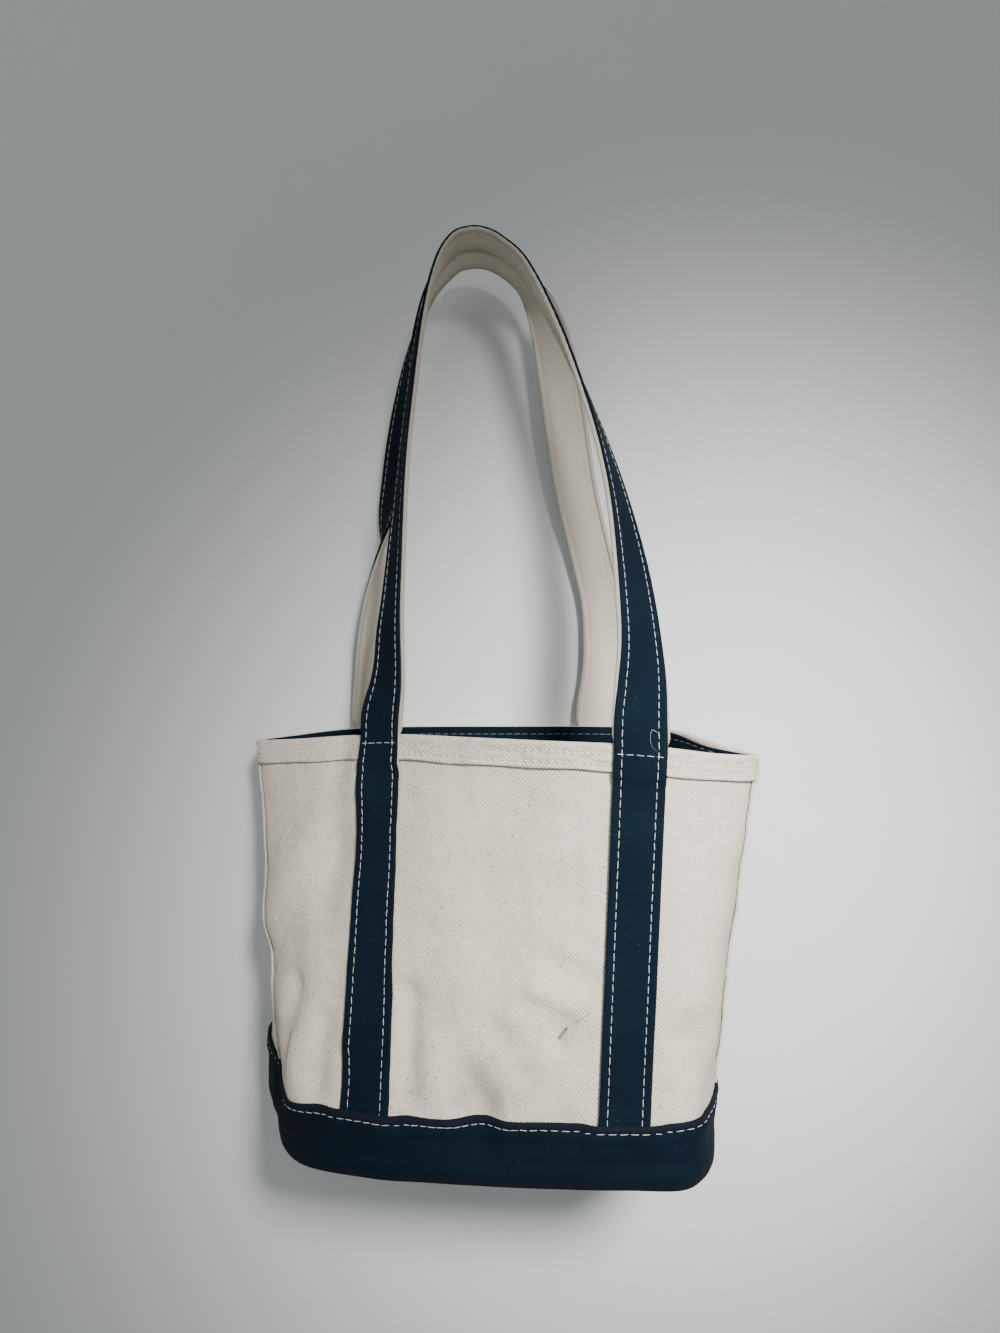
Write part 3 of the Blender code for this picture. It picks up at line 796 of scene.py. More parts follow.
def base_edge(k):
    """Distance down from the rim to the base's folded edge."""
    to_back = 0.5 - 0.5 * np.cos(2 * math.pi * (k - 4) / ROUND)
    corner = np.exp(-((np.mod(k + 4, ROUND) - 4.9) / 0.5) ** 2)
    return WALL + (-1.0 - 8.0 * to_back + 3.2 * corner + 0.4 * np.sin(girth(k) / (17 * MM))) * MM


def base_height(k, down):
    """Height of the base's inner face plus its thickness, raised over the straps' ends."""
    down = np.broadcast_to(down, k.shape)
    raised = np.zeros(k.shape)
    for strap in FRONT_STRAPS + BACK_STRAPS:
        beside_it = 1 - smooth(from_strap(k, strap, down), 13.4 * MM, 23 * MM)
        below_it = 1 - smooth(down, STRAP_END + 1 * MM, STRAP_END + 15 * MM)
        raised = np.maximum(raised, beside_it * below_it)
    return 0.3 * MM + CANVAS + 2.75 * MM * raised


def base_fold(from_edge):
    """The extra thickness of the folded edge, pinched along its stitches."""
    doubled = 0.75 * MM * (1 - smooth(from_edge, 7.0 * MM, 9.5 * MM))
    pinched = 0.45 * MM * np.exp(-((from_edge - EDGE_STITCHES) / (1.1 * MM)) ** 2)
    rounded = 0.6 * MM * (1 - smooth(from_edge, 0, 0.9 * MM))
    return doubled - pinched - rounded


# ---- rim ----------------------------------------------------------------------------------------
def swept(name, ks, profile, around=False):
    """Sweep a closed profile of (height, down) pairs, which may vary along ks, round the rim."""
    rows, uvs = [], []
    run = np.concatenate([[0], np.cumsum(np.hypot(*np.diff(profile(ks[0]), axis=0).T))])
    for k in ks:
        section = profile(k)
        rows.append(over(np.full(len(section), k), np.maximum(section[:, 1], -1),
                         section[:, 0]))
        uvs.append(np.stack([run, np.full(len(section), girth(k))], -1))
    piece = loft(name, np.array(rows), np.array(uvs)[..., ::-1], around=True, caps=True)
    outward_faces(piece)
    return piece


def rounded_profile(points, per_side=4):
    """A closed smooth profile through points."""
    count = len(points)
    return through(points, np.arange(count * per_side) / per_side, closed=True) * MM


def hem_profile(k):
    """The hem: over the rim, down the outside, pinched at its stitches and turned under."""
    along = float(girth(k)) / MM
    wave = 0.25 * math.sin(along / 6.3) + 0.2 * math.sin(along / 17.1)
    lower = 12.0 + wave
    pucker = 0.38 * math.cos(2 * math.pi * along / sizes().hem_pitch * MM)
    swell = 0.24 * math.sin(along / 2.9) + 0.20 * math.sin(along / 4.7 + 1)
    return rounded_profile([
        (-1.45, 2.2), (-1.75, 0.4), (-1.35, -1.0), (-0.2, -1.65), (1.1, -1.3), (1.95, -0.1),
        (2.0 + swell / 2, 1.6), (1.76, 3.0), (1.62 - pucker, 3.6), (1.76, 4.2),
        (2.02 + swell, 6.2), (1.8, 8.2), (1.62 - pucker, 8.8), (1.8, 9.5),
        (2.25 - swell / 2, 10.9), (1.9, lower), (0.6, lower + 0.1), (0.25, lower - 0.9),
        (0.25, 6.0),
        (0.3, 1.0), (0.0, -0.25), (-1.2, 0.3), (-1.4, 1.4)], 3)


def facing_profile(k):
    """The navy tape inside the rim, which sits lower at the right-hand end of the back."""
    low_end = math.exp(-((k - 8.9) / 0.55) ** 2) + math.exp(-((k + ROUND - 8.9) / 0.55) ** 2)
    top = -1.2 + 2.6 * low_end
    return rounded_profile([
        (-1.95, top + 0.6), (-2.1, top), (-2.55, top - 0.1), (-2.95, top + 0.8), (-2.8, 2.4),
        (-2.6, 3.2), (-2.8, 4.0), (-2.9, 8.0), (-3.1, 12.6), (-2.7, 13.6), (-2.0, 13.4),
        (-1.75, 12.0), (-1.75, 7.0), (-1.75, 3.0)], 3)


class TOTE_OT_rim(bpy.types.Operator):
    """Fold the hem over the rim and face it inside with tape"""
    bl_idname = "tote.rim"
    bl_label = "Rim"

    def execute(self, context):
        step = sizes().hem_pitch / 4
        for side, start, end in (("front", SEAM_LEFT, SEAM_RIGHT), ("back", SEAM_RIGHT, ROUND)):
            long = float(girth(end - 1e-6) - girth(start))
            ks = np.linspace(start + 0.02, end - 0.02, int(long / step))
            hem = swept(f"hem_band_{side}", ks, hem_profile)
            count = len(hem.data.vertices)
            points = np.empty(count * 3, np.float32)
            hem.data.vertices.foreach_get("co", points)
            dust_and_hole_shade = 0.20 + 0.16 * ripples(points[0::3], points[1::3], 21, 12, 8 * MM, 40 * MM)
            # The needle has left a small hole between one stitch and the next; its darkness is
            # painted shade.
            section = hem_profile(ks[0])[:, 1]
            from_row = np.minimum(*(abs(section - row) for row in HEM_ROWS.values()))
            on_row = np.exp(-(from_row / (0.8 * MM)) ** 2)
            hole = np.clip(np.cos(2 * math.pi * girth(ks) / sizes().hem_pitch), 0, 1) ** 3
            dust_and_hole_shade += 0.95 * (hole[:, None] * on_row[None]).reshape(-1) * (0.4 + ripples(
                points[0::3], points[1::3], 22, 9, 6 * MM, 20 * MM) ** 2)
            point_values(hem, "soil_and_shade", np.clip(dust_and_hole_shade, 0, 1))
            dress(hem, "bag", look_of("natural"), [f"rim_hem_{side}"])
            inner = np.linspace(start + 0.12, end - 0.12, int(long / step / 2))
            tape = swept(f"facing_band_{side}", inner, facing_profile)
            point_values(tape, "wear", np.zeros(len(tape.data.vertices)))
            dress(tape, "bag", look_of("navy"), [f"rim_facing_{side}"])
        return {"FINISHED"}


class TOTE_OT_side_seams(bpy.types.Operator):
    """Raise the frayed allowance of both side seams"""
    bl_idname = "tote.side_seams"
    bl_label = "Side Seams"

    def execute(self, context):
        random = np.random.default_rng(31)
        for side, seam, lean in (("left", SEAM_LEFT, -1), ("right", SEAM_RIGHT, 1)):
            downs = np.arange(11 * MM, base_edge(np.array(float(seam))) + 1 * MM, 1.0 * MM)
            half = sizes().seam_width / 2
            rough = ripples(downs, downs * 0, 33 + seam, 16, 2 * MM, 11 * MM)
            rows, uvs = [], []
            for down, jag in zip(downs, rough):
                point, normal = skin(np.array(float(seam)), np.array(down))
                across = np.cross(UP, normal) * lean
                middle = point + across * (half * 0.55 + 0.25 * MM * jag) + normal * 0.75 * MM
                edge = half * (1 + 0.10 * jag)
                section = [(-half, -0.1), (-half * 0.95, 0.55), (-half * 0.4, 0.85),
                           (half * 0.5, 0.8), (edge, 0.5 + 0.2 * jag), (edge * 1.04, 0.0),
                           (edge * 0.9, -0.45), (0.0, -0.5), (-half * 0.9, -0.45)]
                rows.append([middle + across * x + normal * h * MM for x, h in section])
                uvs.append([(i * 0.8 * MM, down) for i in range(len(section))])
            piece = loft(f"seam_strip_{side}", np.array(rows), np.array(uvs), around=True,
                         caps=True)
            outward_faces(piece)
            point_values(piece, "soil_and_shade", np.full(len(piece.data.vertices), 0.2))
            dress(piece, "bag", look_of("raw"), [f"side_seam_{side}"])
            self.fray(side, seam, lean, random, half)
        return {"FINISHED"}

    def fray(self, side, seam, lean, random, half):
        """Loose fibres along the seam's cut edge, thickest at the hem."""
        paths = []
        for i in range(sizes().fray):
            down = random.uniform(12, 180) * MM if i % 3 else random.uniform(-1, 16) * MM
            point, normal = skin(np.array(float(seam)), np.array(down))
            across = np.cross(UP, normal) * lean
            clear = 2.2 if down < 14 * MM else 0.9
            start = point + across * half * random.uniform(0.2, 1.3)
            start = start + normal * clear * random.uniform(0.7, 1.2) * MM
            heading = across * random.uniform(0.2, 1) + normal * random.uniform(-0.1, 0.8)
            heading = heading + UP * random.uniform(-1.1, 0.6)
            long = random.uniform(0.8, 2.0) * MM * (1.7 if down < 14 * MM else 1)
            curl = np.cross(heading, normal) * random.uniform(-0.6, 0.6)
            paths.append([start + (heading * t + curl * t * t) * long for t in (0, 0.35, 0.7, 1)])
        piece = hairs(f"side_seam_fray_{side}", paths, FIBRE)
        dress(piece, "bag", look_of("raw"))


def hairs(name, paths, radius):
    """Thin three-sided fibres along short paths."""
    verts, faces = [], []
    for path in paths:
        path = np.asarray(path)
        first = len(verts)
        for i, point in enumerate(path):
            ahead = path[min(i + 1, len(path) - 1)] - path[max(i - 1, 0)]
            ahead = ahead / np.linalg.norm(ahead)
            side = np.cross(ahead, [0.31, 0.2, 0.93])
            side /= np.linalg.norm(side)
            other = np.cross(ahead, side)
            thin = radius * (1 - 0.6 * i / (len(path) - 1))
            for turn in (0, 2.094, 4.189):
                verts.append(point + (side * math.cos(turn) + other * math.sin(turn)) * thin)
        for i in range(len(path) - 1):
            a = first + 3 * i
            for j in range(3):
                b = (j + 1) % 3
                faces.append((a + j, a + b, a + 3 + b, a + 3 + j))
        faces.append((first + 2, first + 1, first))
        last = first + 3 * (len(path) - 1)
        faces.append((last, last + 1, last + 2))
    piece = new_piece(name, [tuple(v) for v in verts], faces)
    outward_faces(piece)
    return piece


# ---- straps -------------------------------------------------------------------------------------
STRAP_KEYS = np.linspace(-0.5, 0.5, 7) * STRAP_WIDTH


def sewn_rows(k, downs, side):
    """Lines of points across a sewn strap, at its lining's inner face, with their normals."""
    points, normals = [], []
    for down in downs:
        ks = beside(float(k), STRAP_KEYS * side, down)
        point, normal = skin(ks, np.full(ks.shape, down))
        lift = STRAP_SEAT + HEM_LIFT * (1 - smooth(down, HEM_DEPTH + 0.8 * MM, HEM_DEPTH + 7 * MM))
        points.append(point + normal * lift)
        normals.append(normal)
    return np.array(points), np.array(normals)


def handle_rows(route, left, right, step):
    """Lines of points across a handle from the left rim to the right rim."""
    (left_row, left_normal), (right_row, right_normal) = left, right

    def foot(row, rise, fallback):
        middle = row[3]
        wide = row[-1] - row[0]
        angle = math.degrees(math.atan2(wide[1], wide[0]))
        angle += 360 * round((fallback - angle) / 360)
        return [middle[0] / MM, middle[1] / MM, middle[2] / MM + rise, angle]

    points = [foot(left_row, 0, route[0][3]), foot(left_row, 9, route[0][3]), *map(list, route),
              foot(right_row, 9, route[-1][3]), foot(right_row, 0, route[-1][3])]
    fine = through(points, np.linspace(0, len(points) - 1, 1500))
    run = distance_along(fine[:, :3]) * MM
    count = int(run[-1] / step)
    where = np.linspace(0, run[-1], count)
    line = np.stack([np.interp(where, run, fine[:, i]) for i in range(4)], -1)
    middle = line[:, :3] * MM
    tangent = np.gradient(middle, axis=0)
    tangent /= np.linalg.norm(tangent, axis=1, keepdims=True)
    angle = np.radians(line[:, 3])
    wide = np.stack([np.cos(angle), np.sin(angle), np.zeros(count)], -1)
    normal = np.cross(wide, tangent)
    normal /= np.linalg.norm(normal, axis=1, keepdims=True)
    wide = np.cross(tangent, normal)
    points = middle[:, None] + wide[:, None] * STRAP_KEYS[None, :, None]
    normals = np.repeat(normal[:, None], len(STRAP_KEYS), axis=1)
    # Just above the rim the strap still follows the wall it is sewn to.
    for row, row_normal, away in ((left_row, left_normal, where),
                                  (right_row, right_normal, run[-1] - where)):
        near = (1 - smooth(away, 2 * MM, 30 * MM))[:, None, None]
        rise = row[None] + UP * away[:, None, None]
        points = points + (rise - points) * near
        normals = normals + (row_normal[None] - normals) * near
    normals /= np.linalg.norm(normals, axis=-1, keepdims=True)
    return points, normals


class Strap:
    """The whole path of one strap: up the left side, over the handle and down the right side."""

    def __init__(self, straps, route, step):
        left, right = straps
        downs = np.arange(STRAP_END, 0.01 * MM, -step)
        up, up_normals = sewn_rows(left, downs, 1)
        fall, fall_normals = sewn_rows(right, downs[::-1], -1)
        rim_left = tuple(a[0] for a in sewn_rows(left, [0.0], 1))
        rim_right = tuple(a[0] for a in sewn_rows(right, [0.0], -1))
        loop, loop_normals = handle_rows(route, rim_left, rim_right, step)
        self.points = np.concatenate([up, loop, fall])
        self.normals = np.concatenate([up_normals, loop_normals, fall_normals])
        self.run = distance_along(self.points[:, 3])
        self.rim_runs = (self.run[len(up)], self.run[len(up) + len(loop) - 1])

    def sewn(self, run):
        """1 where the strap is sewn to the panel, 0 along the handle."""
        left, right = self.rim_runs
        return 1 - smooth(run, left, left + 6 * MM) * (1 - smooth(run, right - 6 * MM, right))

    def at(self, x, height, run):
        """Points at a distance across and a height above the lining's inner face."""
        rows = np.interp(run, self.run, np.arange(len(self.run)))
        x, height, rows = np.broadcast_arrays(np.asarray(x, float), np.asarray(height, float), rows)
        column = np.clip((x / STRAP_WIDTH + 0.5) * 6, 0, 6)
        spare = x - np.clip(x, -STRAP_WIDTH / 2, STRAP_WIDTH / 2)
        c0, r0 = np.clip(column.astype(int), 0, 5), np.clip(rows.astype(int), 0, len(self.run) - 2)
        cf, rf = (column - c0)[..., None], (rows - r0)[..., None]

        def blend(a):
            low = a[r0, c0] * (1 - cf) + a[r0, c0 + 1] * cf
            high = a[r0 + 1, c0] * (1 - cf) + a[r0 + 1, c0 + 1] * cf
            return low * (1 - rf) + high * rf

        wide = self.points[r0, c0 + 1] - self.points[r0, c0]
        wide /= np.linalg.norm(wide, axis=-1, keepdims=True)
        lifted = blend(self.points) + blend(self.normals) * height[..., None]
        return lifted + wide * spare[..., None]


def both_edges(left, top, under):
    """A strap's section (across, height in mm): its left edge, the middle, the same mirrored."""
    right = [(-x, height) for x, height in reversed(left)]
    return left + [(0, top)] + right + under


OUTER_PROFILE = both_edges(
    [(-10.8, 1.12), (-11.5, 1.5), (-12.3, 1.75), (-12.5, 2.2), (-12.1, 2.7), (-11.2, 2.86),
     (-9.7, 2.66), (-8.4, 2.32), (-7.0, 2.50), (-3.5, 2.60)], 2.62,
    [(5.5, 1.10), (0, 1.10), (-5.5, 1.10)])
LINING_PROFILE = both_edges(
    [(-10.6, 0.0), (-11.4, -0.35), (-12.2, -0.9), (-13.1, -0.9), (-13.75, -0.25), (-13.75, 0.65),
     (-13.2, 1.3), (-12.4, 1.4), (-11.6, 1.12), (-11.0, 1.0), (-5.6, 1.0)], 1.0,
    [(5.6, 0), (0, 0), (-5.6, 0)])


def strap_layer(name, strap, profile, ripple, tucked=0.0):
    """One layer of a strap, swept along its path and narrower by a share where it is sewn down."""
    section = rounded_profile(profile, 2)
    run = np.concatenate([[0], np.cumsum(np.hypot(*np.diff(section, axis=0).T))])
    sewn = strap.sewn(strap.run)[:, None]
    x = section[:, 0] * (1 - tucked * sewn)
    height = np.maximum(section[:, 1], 0) + np.minimum(section[:, 1], 0) * (1 - sewn)
    height = height + ripple(strap.run[:, None], section[None, :, 0])
    rows_index = np.broadcast_to(strap.run[:, None], x.shape)
    grid = strap.at(x, height, rows_index)
    uv = np.stack([np.broadcast_to(run, x.shape), rows_index], -1)
    piece = loft(name, grid, uv, around=True, caps=True)
    outward_faces(piece)
    return piece, x


class TOTE_OT_straps(bpy.types.Operator):
    """Sew on both straps, each a navy layer on a natural lining"""
    bl_idname = "tote.straps"
    bl_label = "Straps"

    def execute(self, context):
        pitch = sizes().stitch_pitch
        for panel, strap in STRAPS.items():
            nodes = [f"{panel}_strap_left", f"{panel}_strap_right", f"{panel}_handle"]

            def quilt(run, x):
                """The cloth is drawn in at the ends of each stitch."""
                near = np.exp(-((abs(x) - 8.4 * MM) / (1.3 * MM)) ** 2)
                return -0.16 * MM * near * (0.5 + 0.5 * np.cos(2 * math.pi * run / pitch))

            def rope(run, x):
                """The lining's edge is a little lumpy, like a rope."""
                edge = 0.10 * MM * smooth(abs(x), 12.2 * MM, 12.8 * MM)
                return edge * np.sin(2 * math.pi * run / (2.3 * MM))

            outer, x = strap_layer(f"{panel}_strap_outer", strap, OUTER_PROFILE, quilt)
            edge = smooth(abs(x), 11.2 * MM, 12.6 * MM) * 0.75
            crown = np.exp(-((abs(x) - 11.4 * MM) / (0.7 * MM)) ** 2) * 0.5
            point_values(outer, "wear", np.maximum(edge, crown))
            dress(outer, None, look_of("navy"), [f"{node}_outer" for node in nodes])
            lining, x = strap_layer(f"{panel}_strap_lining", strap, LINING_PROFILE, rope,
                                    tucked=0.12)
            point_values(lining, "edge", smooth(abs(x), 11.3 * MM, 12.1 * MM))
            dress(lining, None, look_of("lining"),
                  [f"{node}_lining" for node in nodes])
            for piece in (outer, lining):
                hinge_blend(piece)
        return {"FINISHED"}


def hinge_blend(piece):
    """Bake the piece's placement into its points."""
    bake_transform(piece)


# ---- stitches -----------------------------------------------------------------------------------
def one_stitch(long, thick):
    """A single stitch along X, arched and sunk at both ends, as a list of points and faces."""
    ready()
    bpy.ops.mesh.primitive_uv_sphere_add(segments=8, ring_count=6, radius=0.5,
                                         rotation=(0, math.pi / 2, 0))
    ball = bpy.context.object
    bpy.ops.object.transform_apply(rotation=True)
    bpy.ops.object.mode_set(mode="EDIT")
    bpy.ops.mesh.select_all(action="SELECT")
    bpy.ops.transform.resize(value=(long, thick, thick * 0.8))
    bpy.ops.object.mode_set(mode="OBJECT")
    points = np.array([v.co for v in ball.data.vertices])
    along = points[:, 0] / (long / 2)
    points[:, 0] = np.sign(along) * abs(along) ** 0.72 * long / 2
    points[:, 2] += thick * (0.22 - 0.55 * along ** 4)
    faces = [list(p.vertices) for p in ball.data.polygons]
    bpy.data.objects.remove(ball, do_unlink=True)
    return points, faces


def stitch_row(name, rows, long, thick, seed):
    """Stitches along rows of (middles, directions, normals), all in one piece."""
    shape, shape_faces = one_stitch(long, thick)
    random = np.random.default_rng(seed)
    verts, faces = [], []
    for middles, directions, normals in rows:
        for middle, ahead, normal in zip(middles, directions, normals):
            ahead = ahead / np.linalg.norm(ahead)
            normal = normal - ahead * (normal @ ahead)
            normal /= np.linalg.norm(normal)
            side = np.cross(normal, ahead)
            slant = random.uniform(-0.05, 0.09)
            ahead, side = ahead + side * slant, side - ahead * slant
            size = random.uniform(0.93, 1.06)
            first = len(verts) * len(shape)
            local = shape * [size, random.uniform(0.9, 1.1), random.uniform(0.9, 1.1)]
            verts.append(middle + local @ np.array([ahead, side, normal]))
            faces += [[index + first for index in face] for face in shape_faces]
    return new_piece(name, np.concatenate(verts).tolist(), faces)


def along_strap(strap, x, start, end, pitch, height):
    """Middles, directions and normals of a row of stitches along a strap."""
    count = int((end - start) / pitch)
    runs = start + (np.arange(count) + 0.5) * pitch
    middle = strap.at(x, height, runs)
    ahead = strap.at(x, height, runs + 1 * MM) - strap.at(x, height, runs - 1 * MM)
    normal = strap.at(x, height + 1 * MM, runs) - middle
    return middle, ahead, normal


def along_ring(start, end, down, pitch, height):
    """The same round the bag, at a distance down and a height that may follow the outline."""
    long = float(girth(end) - girth(start))
    count = max(int(long / pitch), 1)
    spots = float(girth(start)) + (np.arange(count) + 0.5) * long / count
    k = np.interp(spots, np.concatenate([GIRTH - GIRTH[-1], GIRTH]),
                  np.concatenate([GIRTH_K - ROUND, GIRTH_K]))
    level = down(k) if callable(down) else np.full(k.shape, down)
    high = height(k, level)
    middle = over(k, level, high)
    ahead = over(k + 0.01, level, high) - over(k - 0.01, level, high)
    return middle, ahead, over(k, level, high + 1 * MM) - middle


class TOTE_OT_stitches(bpy.types.Operator):
    """Stitch the straps, the hem, the facing and the base"""
    bl_idname = "tote.stitches"
    bl_label = "Stitches"

    def execute(self, context):
        size = sizes()
        x = STRAP_WIDTH / 2 - size.inset
        face = 2.33 * MM
        for panel, strap in STRAPS.items():
            start, end = 2.5 * MM, strap.run[-1] - 2.5 * MM
            rows = [along_strap(strap, side * x, start, end, size.stitch_pitch, face)
                    for side in (-1, 1)]
            for rim_run, side in zip(strap.rim_runs, (-1, 1)):
                across = np.linspace(-0.37, 0.37, 5) * STRAP_WIDTH
                runs = np.full(across.size, rim_run + side * 3.1 * MM)
                middle = strap.at(across, face + 0.25 * MM, runs)
                ahead = (strap.at(across + 1 * MM, face, runs)
                         - strap.at(across - 1 * MM, face, runs))
                rows.append((middle, ahead, strap.at(across, face + 1.25 * MM, runs) - middle))
            piece = stitch_row(f"{panel}_strap_stitches", rows, size.stitch_length, size.thread, 41)
            nodes = [f"{panel}_strap_left_stitching", f"{panel}_strap_right_stitching",
                     f"{panel}_handle_stitching_near", f"{panel}_handle_stitching_far"]
            dress(piece, None, look_of("white"), nodes)
            hinge_blend(piece)
            # The same rows show as natural thread on the inside of the handle.
            first, last = strap.rim_runs[0] + 8 * MM, strap.rim_runs[1] - 8 * MM
            rows = []
            for side in (-1, 1):
                middle, ahead, normal = along_strap(strap, side * x, first, last, size.stitch_pitch,
                                                    -0.02 * MM)
                rows.append((middle, ahead, -normal))
            piece = stitch_row(f"{panel}_handle_inner_stitches", rows, size.stitch_length,
                               size.thread, 43)
            dress(piece, f"{panel}_handle", look_of("inner"))
        for side, start, end, straps in (("front", SEAM_LEFT, SEAM_RIGHT, FRONT_STRAPS),
                                         ("back", SEAM_RIGHT, ROUND, BACK_STRAPS[::-1])):
            self.hem(side, start, end, straps)
            row = along_ring(start + 0.15, end - 0.15, EDGE_STITCHES, size.stitch_pitch,
                             lambda k, down: np.full(k.shape, -2.62 * MM))
            row = (row[0], row[1], -row[2])
            piece = stitch_row(f"rim_facing_stitches_{side}", [row], size.stitch_length,
                               size.thread * 0.6, 47)
            dress(piece, "bag", look_of("facing"),
                  [f"rim_facing_stitching_{side}"])
            row = along_ring(start, end, lambda k: base_edge(k) + EDGE_STITCHES, size.stitch_pitch,
                             lambda k, down: base_height(k, down) + 0.32 * MM)
            piece = stitch_row(f"base_stitches_{side}", [row], size.stitch_length, size.thread, 49)
            dress(piece, "bag", look_of("white"), [f"base_stitching_{side}"])
        return {"FINISHED"}

    def hem(self, side, start, end, straps):
        """Two rows round the hem, which pass under the straps."""
        size = sizes()
        for row_name, down in HEM_ROWS.items():
            edges = [start + 0.05]
            for strap in straps:
                clear = np.array([-1, 1]) * (STRAP_WIDTH / 2 + 1.6 * MM)
                edges += list(beside(float(strap), clear, down))
            edges.append(end - 0.05)
            for part, first in zip("abc", range(0, 6, 2)):
                row = along_ring(edges[first], edges[first + 1], down, size.hem_pitch,
                                 lambda k, level: np.full(k.shape, 1.74 * MM))
                name = f"{side}_{row_name}_{part}"
                piece = stitch_row(f"hem_stitches_{name}", [row], size.hem_pitch * 0.84,
                                   size.thread * 2.2, 51)
                dress(piece, "bag", look_of("cream"), [f"hem_stitching_{name}"])


class TOTE_OT_loose_threads(bpy.types.Operator):
    """Leave the loose thread ends that wear has pulled out"""
    bl_idname = "tote.loose_threads"
    bl_label = "Loose Threads"

    def execute(self, context):
        strap = STRAPS["front"]
        run = strap.rim_runs[1]
        spots = [(-7.6, 2.9, -8.5), (-5.2, 3.5, -9.4), (-4.4, 4.0, -6.0), (-5.0, 3.8, -2.0),
                 (-7.4, 3.2, 0.5)]
        path = [strap.at(x * MM, height * MM, run + along * MM) for x, height, along in spots]
        curve = through(path, np.linspace(0, len(path) - 1, 26))
        piece = hairs("loose_thread_strap", [curve], LOOSE_THREAD)
        dress(piece, "bag", look_of("white"))
        paths = []
        for i, spot in enumerate((0.04, 0.10, 0.02)):
            point, normal = skin(np.array(spot), np.array((2.0 + 2.4 * i) * MM))
            side = np.array([-1.0, 0.1, 0.0])
            root = point + normal * 1.8 * MM
            paths.append([root + (side * t * (3 + i) + UP * (t * (i - 1) * 1.6 - t * t)) * MM
                          for t in np.linspace(0, 1.3, 9)])
        wisps = hairs("loose_thread_hem", paths, WISP)
        dress(wisps, "bag", look_of("cream"))
        return {"FINISHED"}


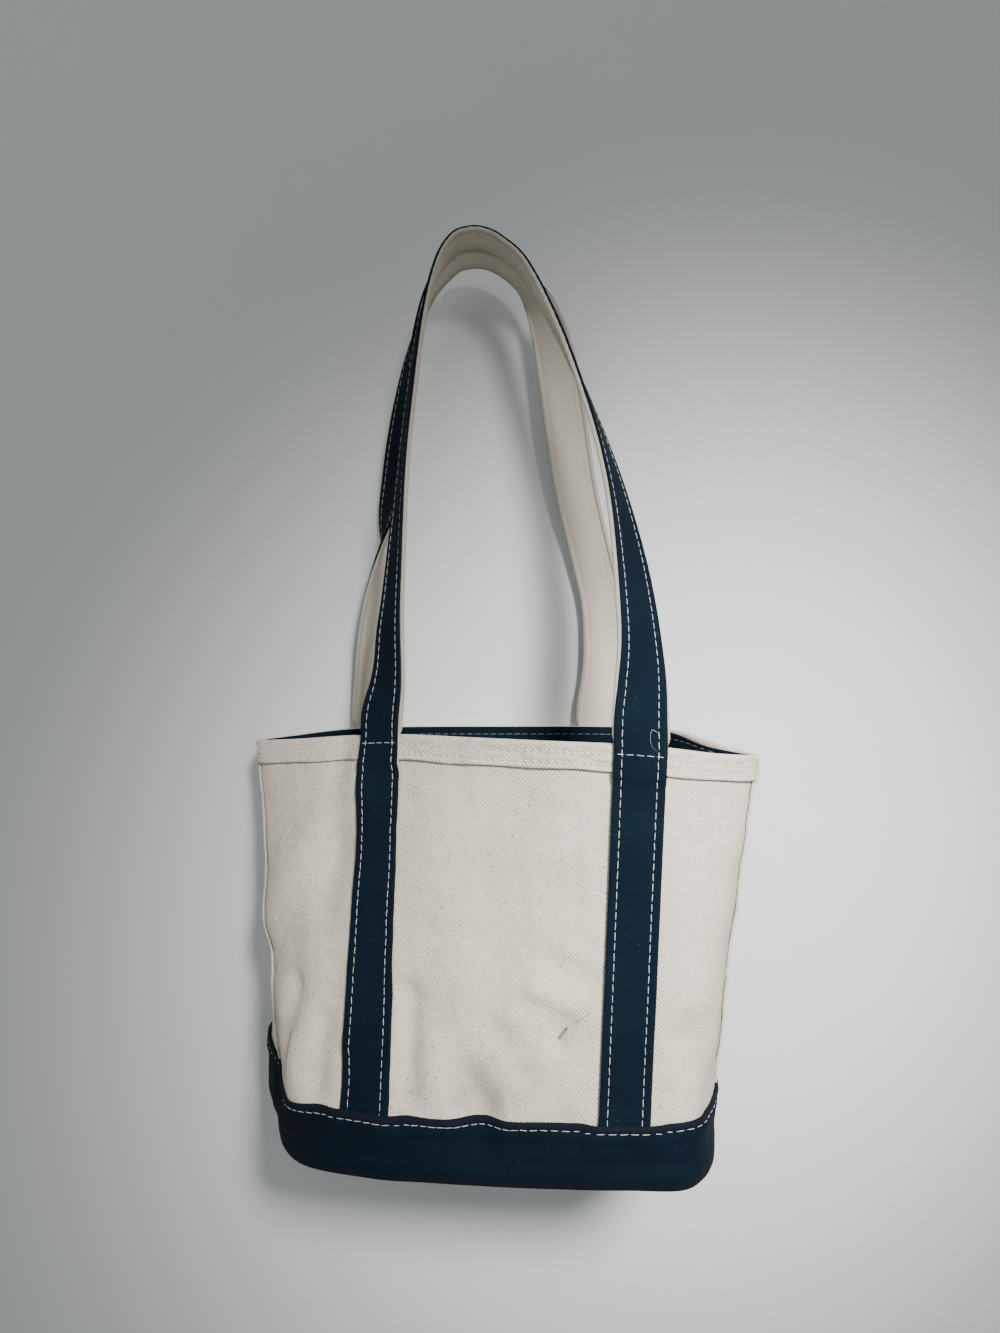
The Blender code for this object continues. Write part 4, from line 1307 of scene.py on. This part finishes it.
# ---- stage --------------------------------------------------------------------------------------
class TOTE_OT_stage(bpy.types.Operator):
    """Set a pale wall and floor, soft lights and the camera"""
    bl_idname = "tote.stage"
    bl_label = "Stage"

    def execute(self, context):
        self.surface("pale_wall", 6.0, (0, WALL_BEHIND, -0.2), (math.pi / 2, 0, 0), colours().wall,
                     True)
        self.surface("pale_floor", 8.0, (0, 0, -1.5), (0, 0, 0), colours().floor, False)
        key = bpy.data.lights.new("key_light", "SPOT")
        key.energy = 172
        key.spot_size = math.radians(32)
        key.spot_blend = 1.0
        key.shadow_soft_size = 0.16
        key.color = (1.0, 0.985, 0.955)
        self.place(key, (0.36, -1.05, 0.22), (0.150, 0, -0.36))
        self.light("fill_light", (-0.9, -1.4, 0.5), 1.4, 2.0, (0.95, 0.975, 1.0))
        self.light("rear_light", (0.2, 1.7, 0.3), 1.4, 16, (1.0, 1.0, 1.0))
        world = bpy.data.worlds.new("pale_room")
        world.use_nodes = True
        world.node_tree.nodes["Background"].inputs["Color"].default_value = (0.82, 0.84, 0.85, 1)
        world.node_tree.nodes["Background"].inputs["Strength"].default_value = 0.47
        context.scene.world = world
        lens = bpy.data.cameras.new("camera")
        lens.lens = LENS
        lens.sensor_width = 36
        lens.clip_start = 0.01
        camera = bpy.data.objects.new("camera", lens)
        camera.location = CAMERA
        camera.rotation_euler = (math.pi / 2, 0, 0)
        context.scene.collection.objects.link(camera)
        context.scene.camera = camera
        return {"FINISHED"}

    def surface(self, name, size, location, rotation, tone, one_sided):
        ready()
        bpy.ops.mesh.primitive_grid_add(x_subdivisions=4, y_subdivisions=4, size=size,
                                        location=location, rotation=rotation)
        piece = bpy.context.object
        piece.name = name
        look = Look(name, 0.9)
        mottle = look.noise(9, 4)
        shade = tuple(value * 0.94 for value in tone)
        look.finish(look.mix(mottle * 0.5, tuple(tone), shade), look.noise(40, 4), 0.6 * MM)
        if one_sided:
            # The wall is seen only from the bag's side, so that the bag's back can be looked at.
            behind = look.node("ShaderNodeNewGeometry", output="Backfacing")
            clear = look.node("ShaderNodeBsdfTransparent")
            solid = Wire(look, look.shader.outputs[0])
            both = look.node("ShaderNodeMixShader", {}, {0: behind, 1: solid, 2: clear})
            look.feed(look.tree.nodes["Material Output"].inputs["Surface"], both)
            # It also lets the light behind it through to the bag's back.
            piece.visible_shadow = False
            piece.visible_diffuse = False
        piece.data.materials.append(look.material)

    def light(self, name, location, size, power, tone):
        lamp = bpy.data.lights.new(name, "AREA")
        lamp.shape = "DISK"
        lamp.size = size
        lamp.energy = power
        lamp.color = tone
        self.place(lamp, location, (0, 0, -0.25))

    def place(self, lamp, location, target):
        piece = bpy.data.objects.new(lamp.name, lamp)
        piece.location = location
        aim = Vector(target) - Vector(location)
        piece.rotation_euler = aim.to_track_quat("-Z", "Y").to_euler()
        bpy.context.scene.collection.objects.link(piece)


class TOTE_PT_panel(bpy.types.Panel):
    """The steps of sewing the bag, in order"""
    bl_label = "Tote Bag"
    bl_idname = "TOTE_PT_panel"
    bl_space_type = "VIEW_3D"
    bl_region_type = "UI"
    bl_category = "Tote Bag"

    def draw(self, context):
        for operator in OPERATORS:
            self.layout.operator(operator.bl_idname)
        for group in (context.scene.tote_sizes, context.scene.tote_colours):
            for name in group.bl_rna.properties.keys():
                if name not in ("rna_type", "name"):
                    self.layout.prop(group, name)


OPERATORS = (TOTE_OT_body_canvas, TOTE_OT_base_wrap, TOTE_OT_rim, TOTE_OT_side_seams,
             TOTE_OT_straps, TOTE_OT_stitches, TOTE_OT_loose_threads, TOTE_OT_stage)
CLASSES = (ToteSizes, ToteColours, *OPERATORS, TOTE_PT_panel)
STRAPS = {}


def register():
    for cls in CLASSES:
        bpy.utils.register_class(cls)
    bpy.types.Scene.tote_sizes = PointerProperty(type=ToteSizes)
    bpy.types.Scene.tote_colours = PointerProperty(type=ToteColours)


def unregister():
    del bpy.types.Scene.tote_colours
    del bpy.types.Scene.tote_sizes
    for cls in reversed(CLASSES):
        bpy.utils.unregister_class(cls)


def main():
    register()
    ready()
    STRAPS["front"] = Strap(FRONT_STRAPS, FRONT_ROUTE, 1.6 * MM)
    STRAPS["back"] = Strap(BACK_STRAPS, BACK_ROUTE, 1.6 * MM)
    bpy.ops.tote.body_canvas()
    bpy.ops.tote.base_wrap()
    bpy.ops.tote.rim()
    bpy.ops.tote.side_seams()
    bpy.ops.tote.straps()
    bpy.ops.tote.stitches()
    bpy.ops.tote.loose_threads()
    bpy.ops.tote.stage()


if __name__ == "__main__":
    main()
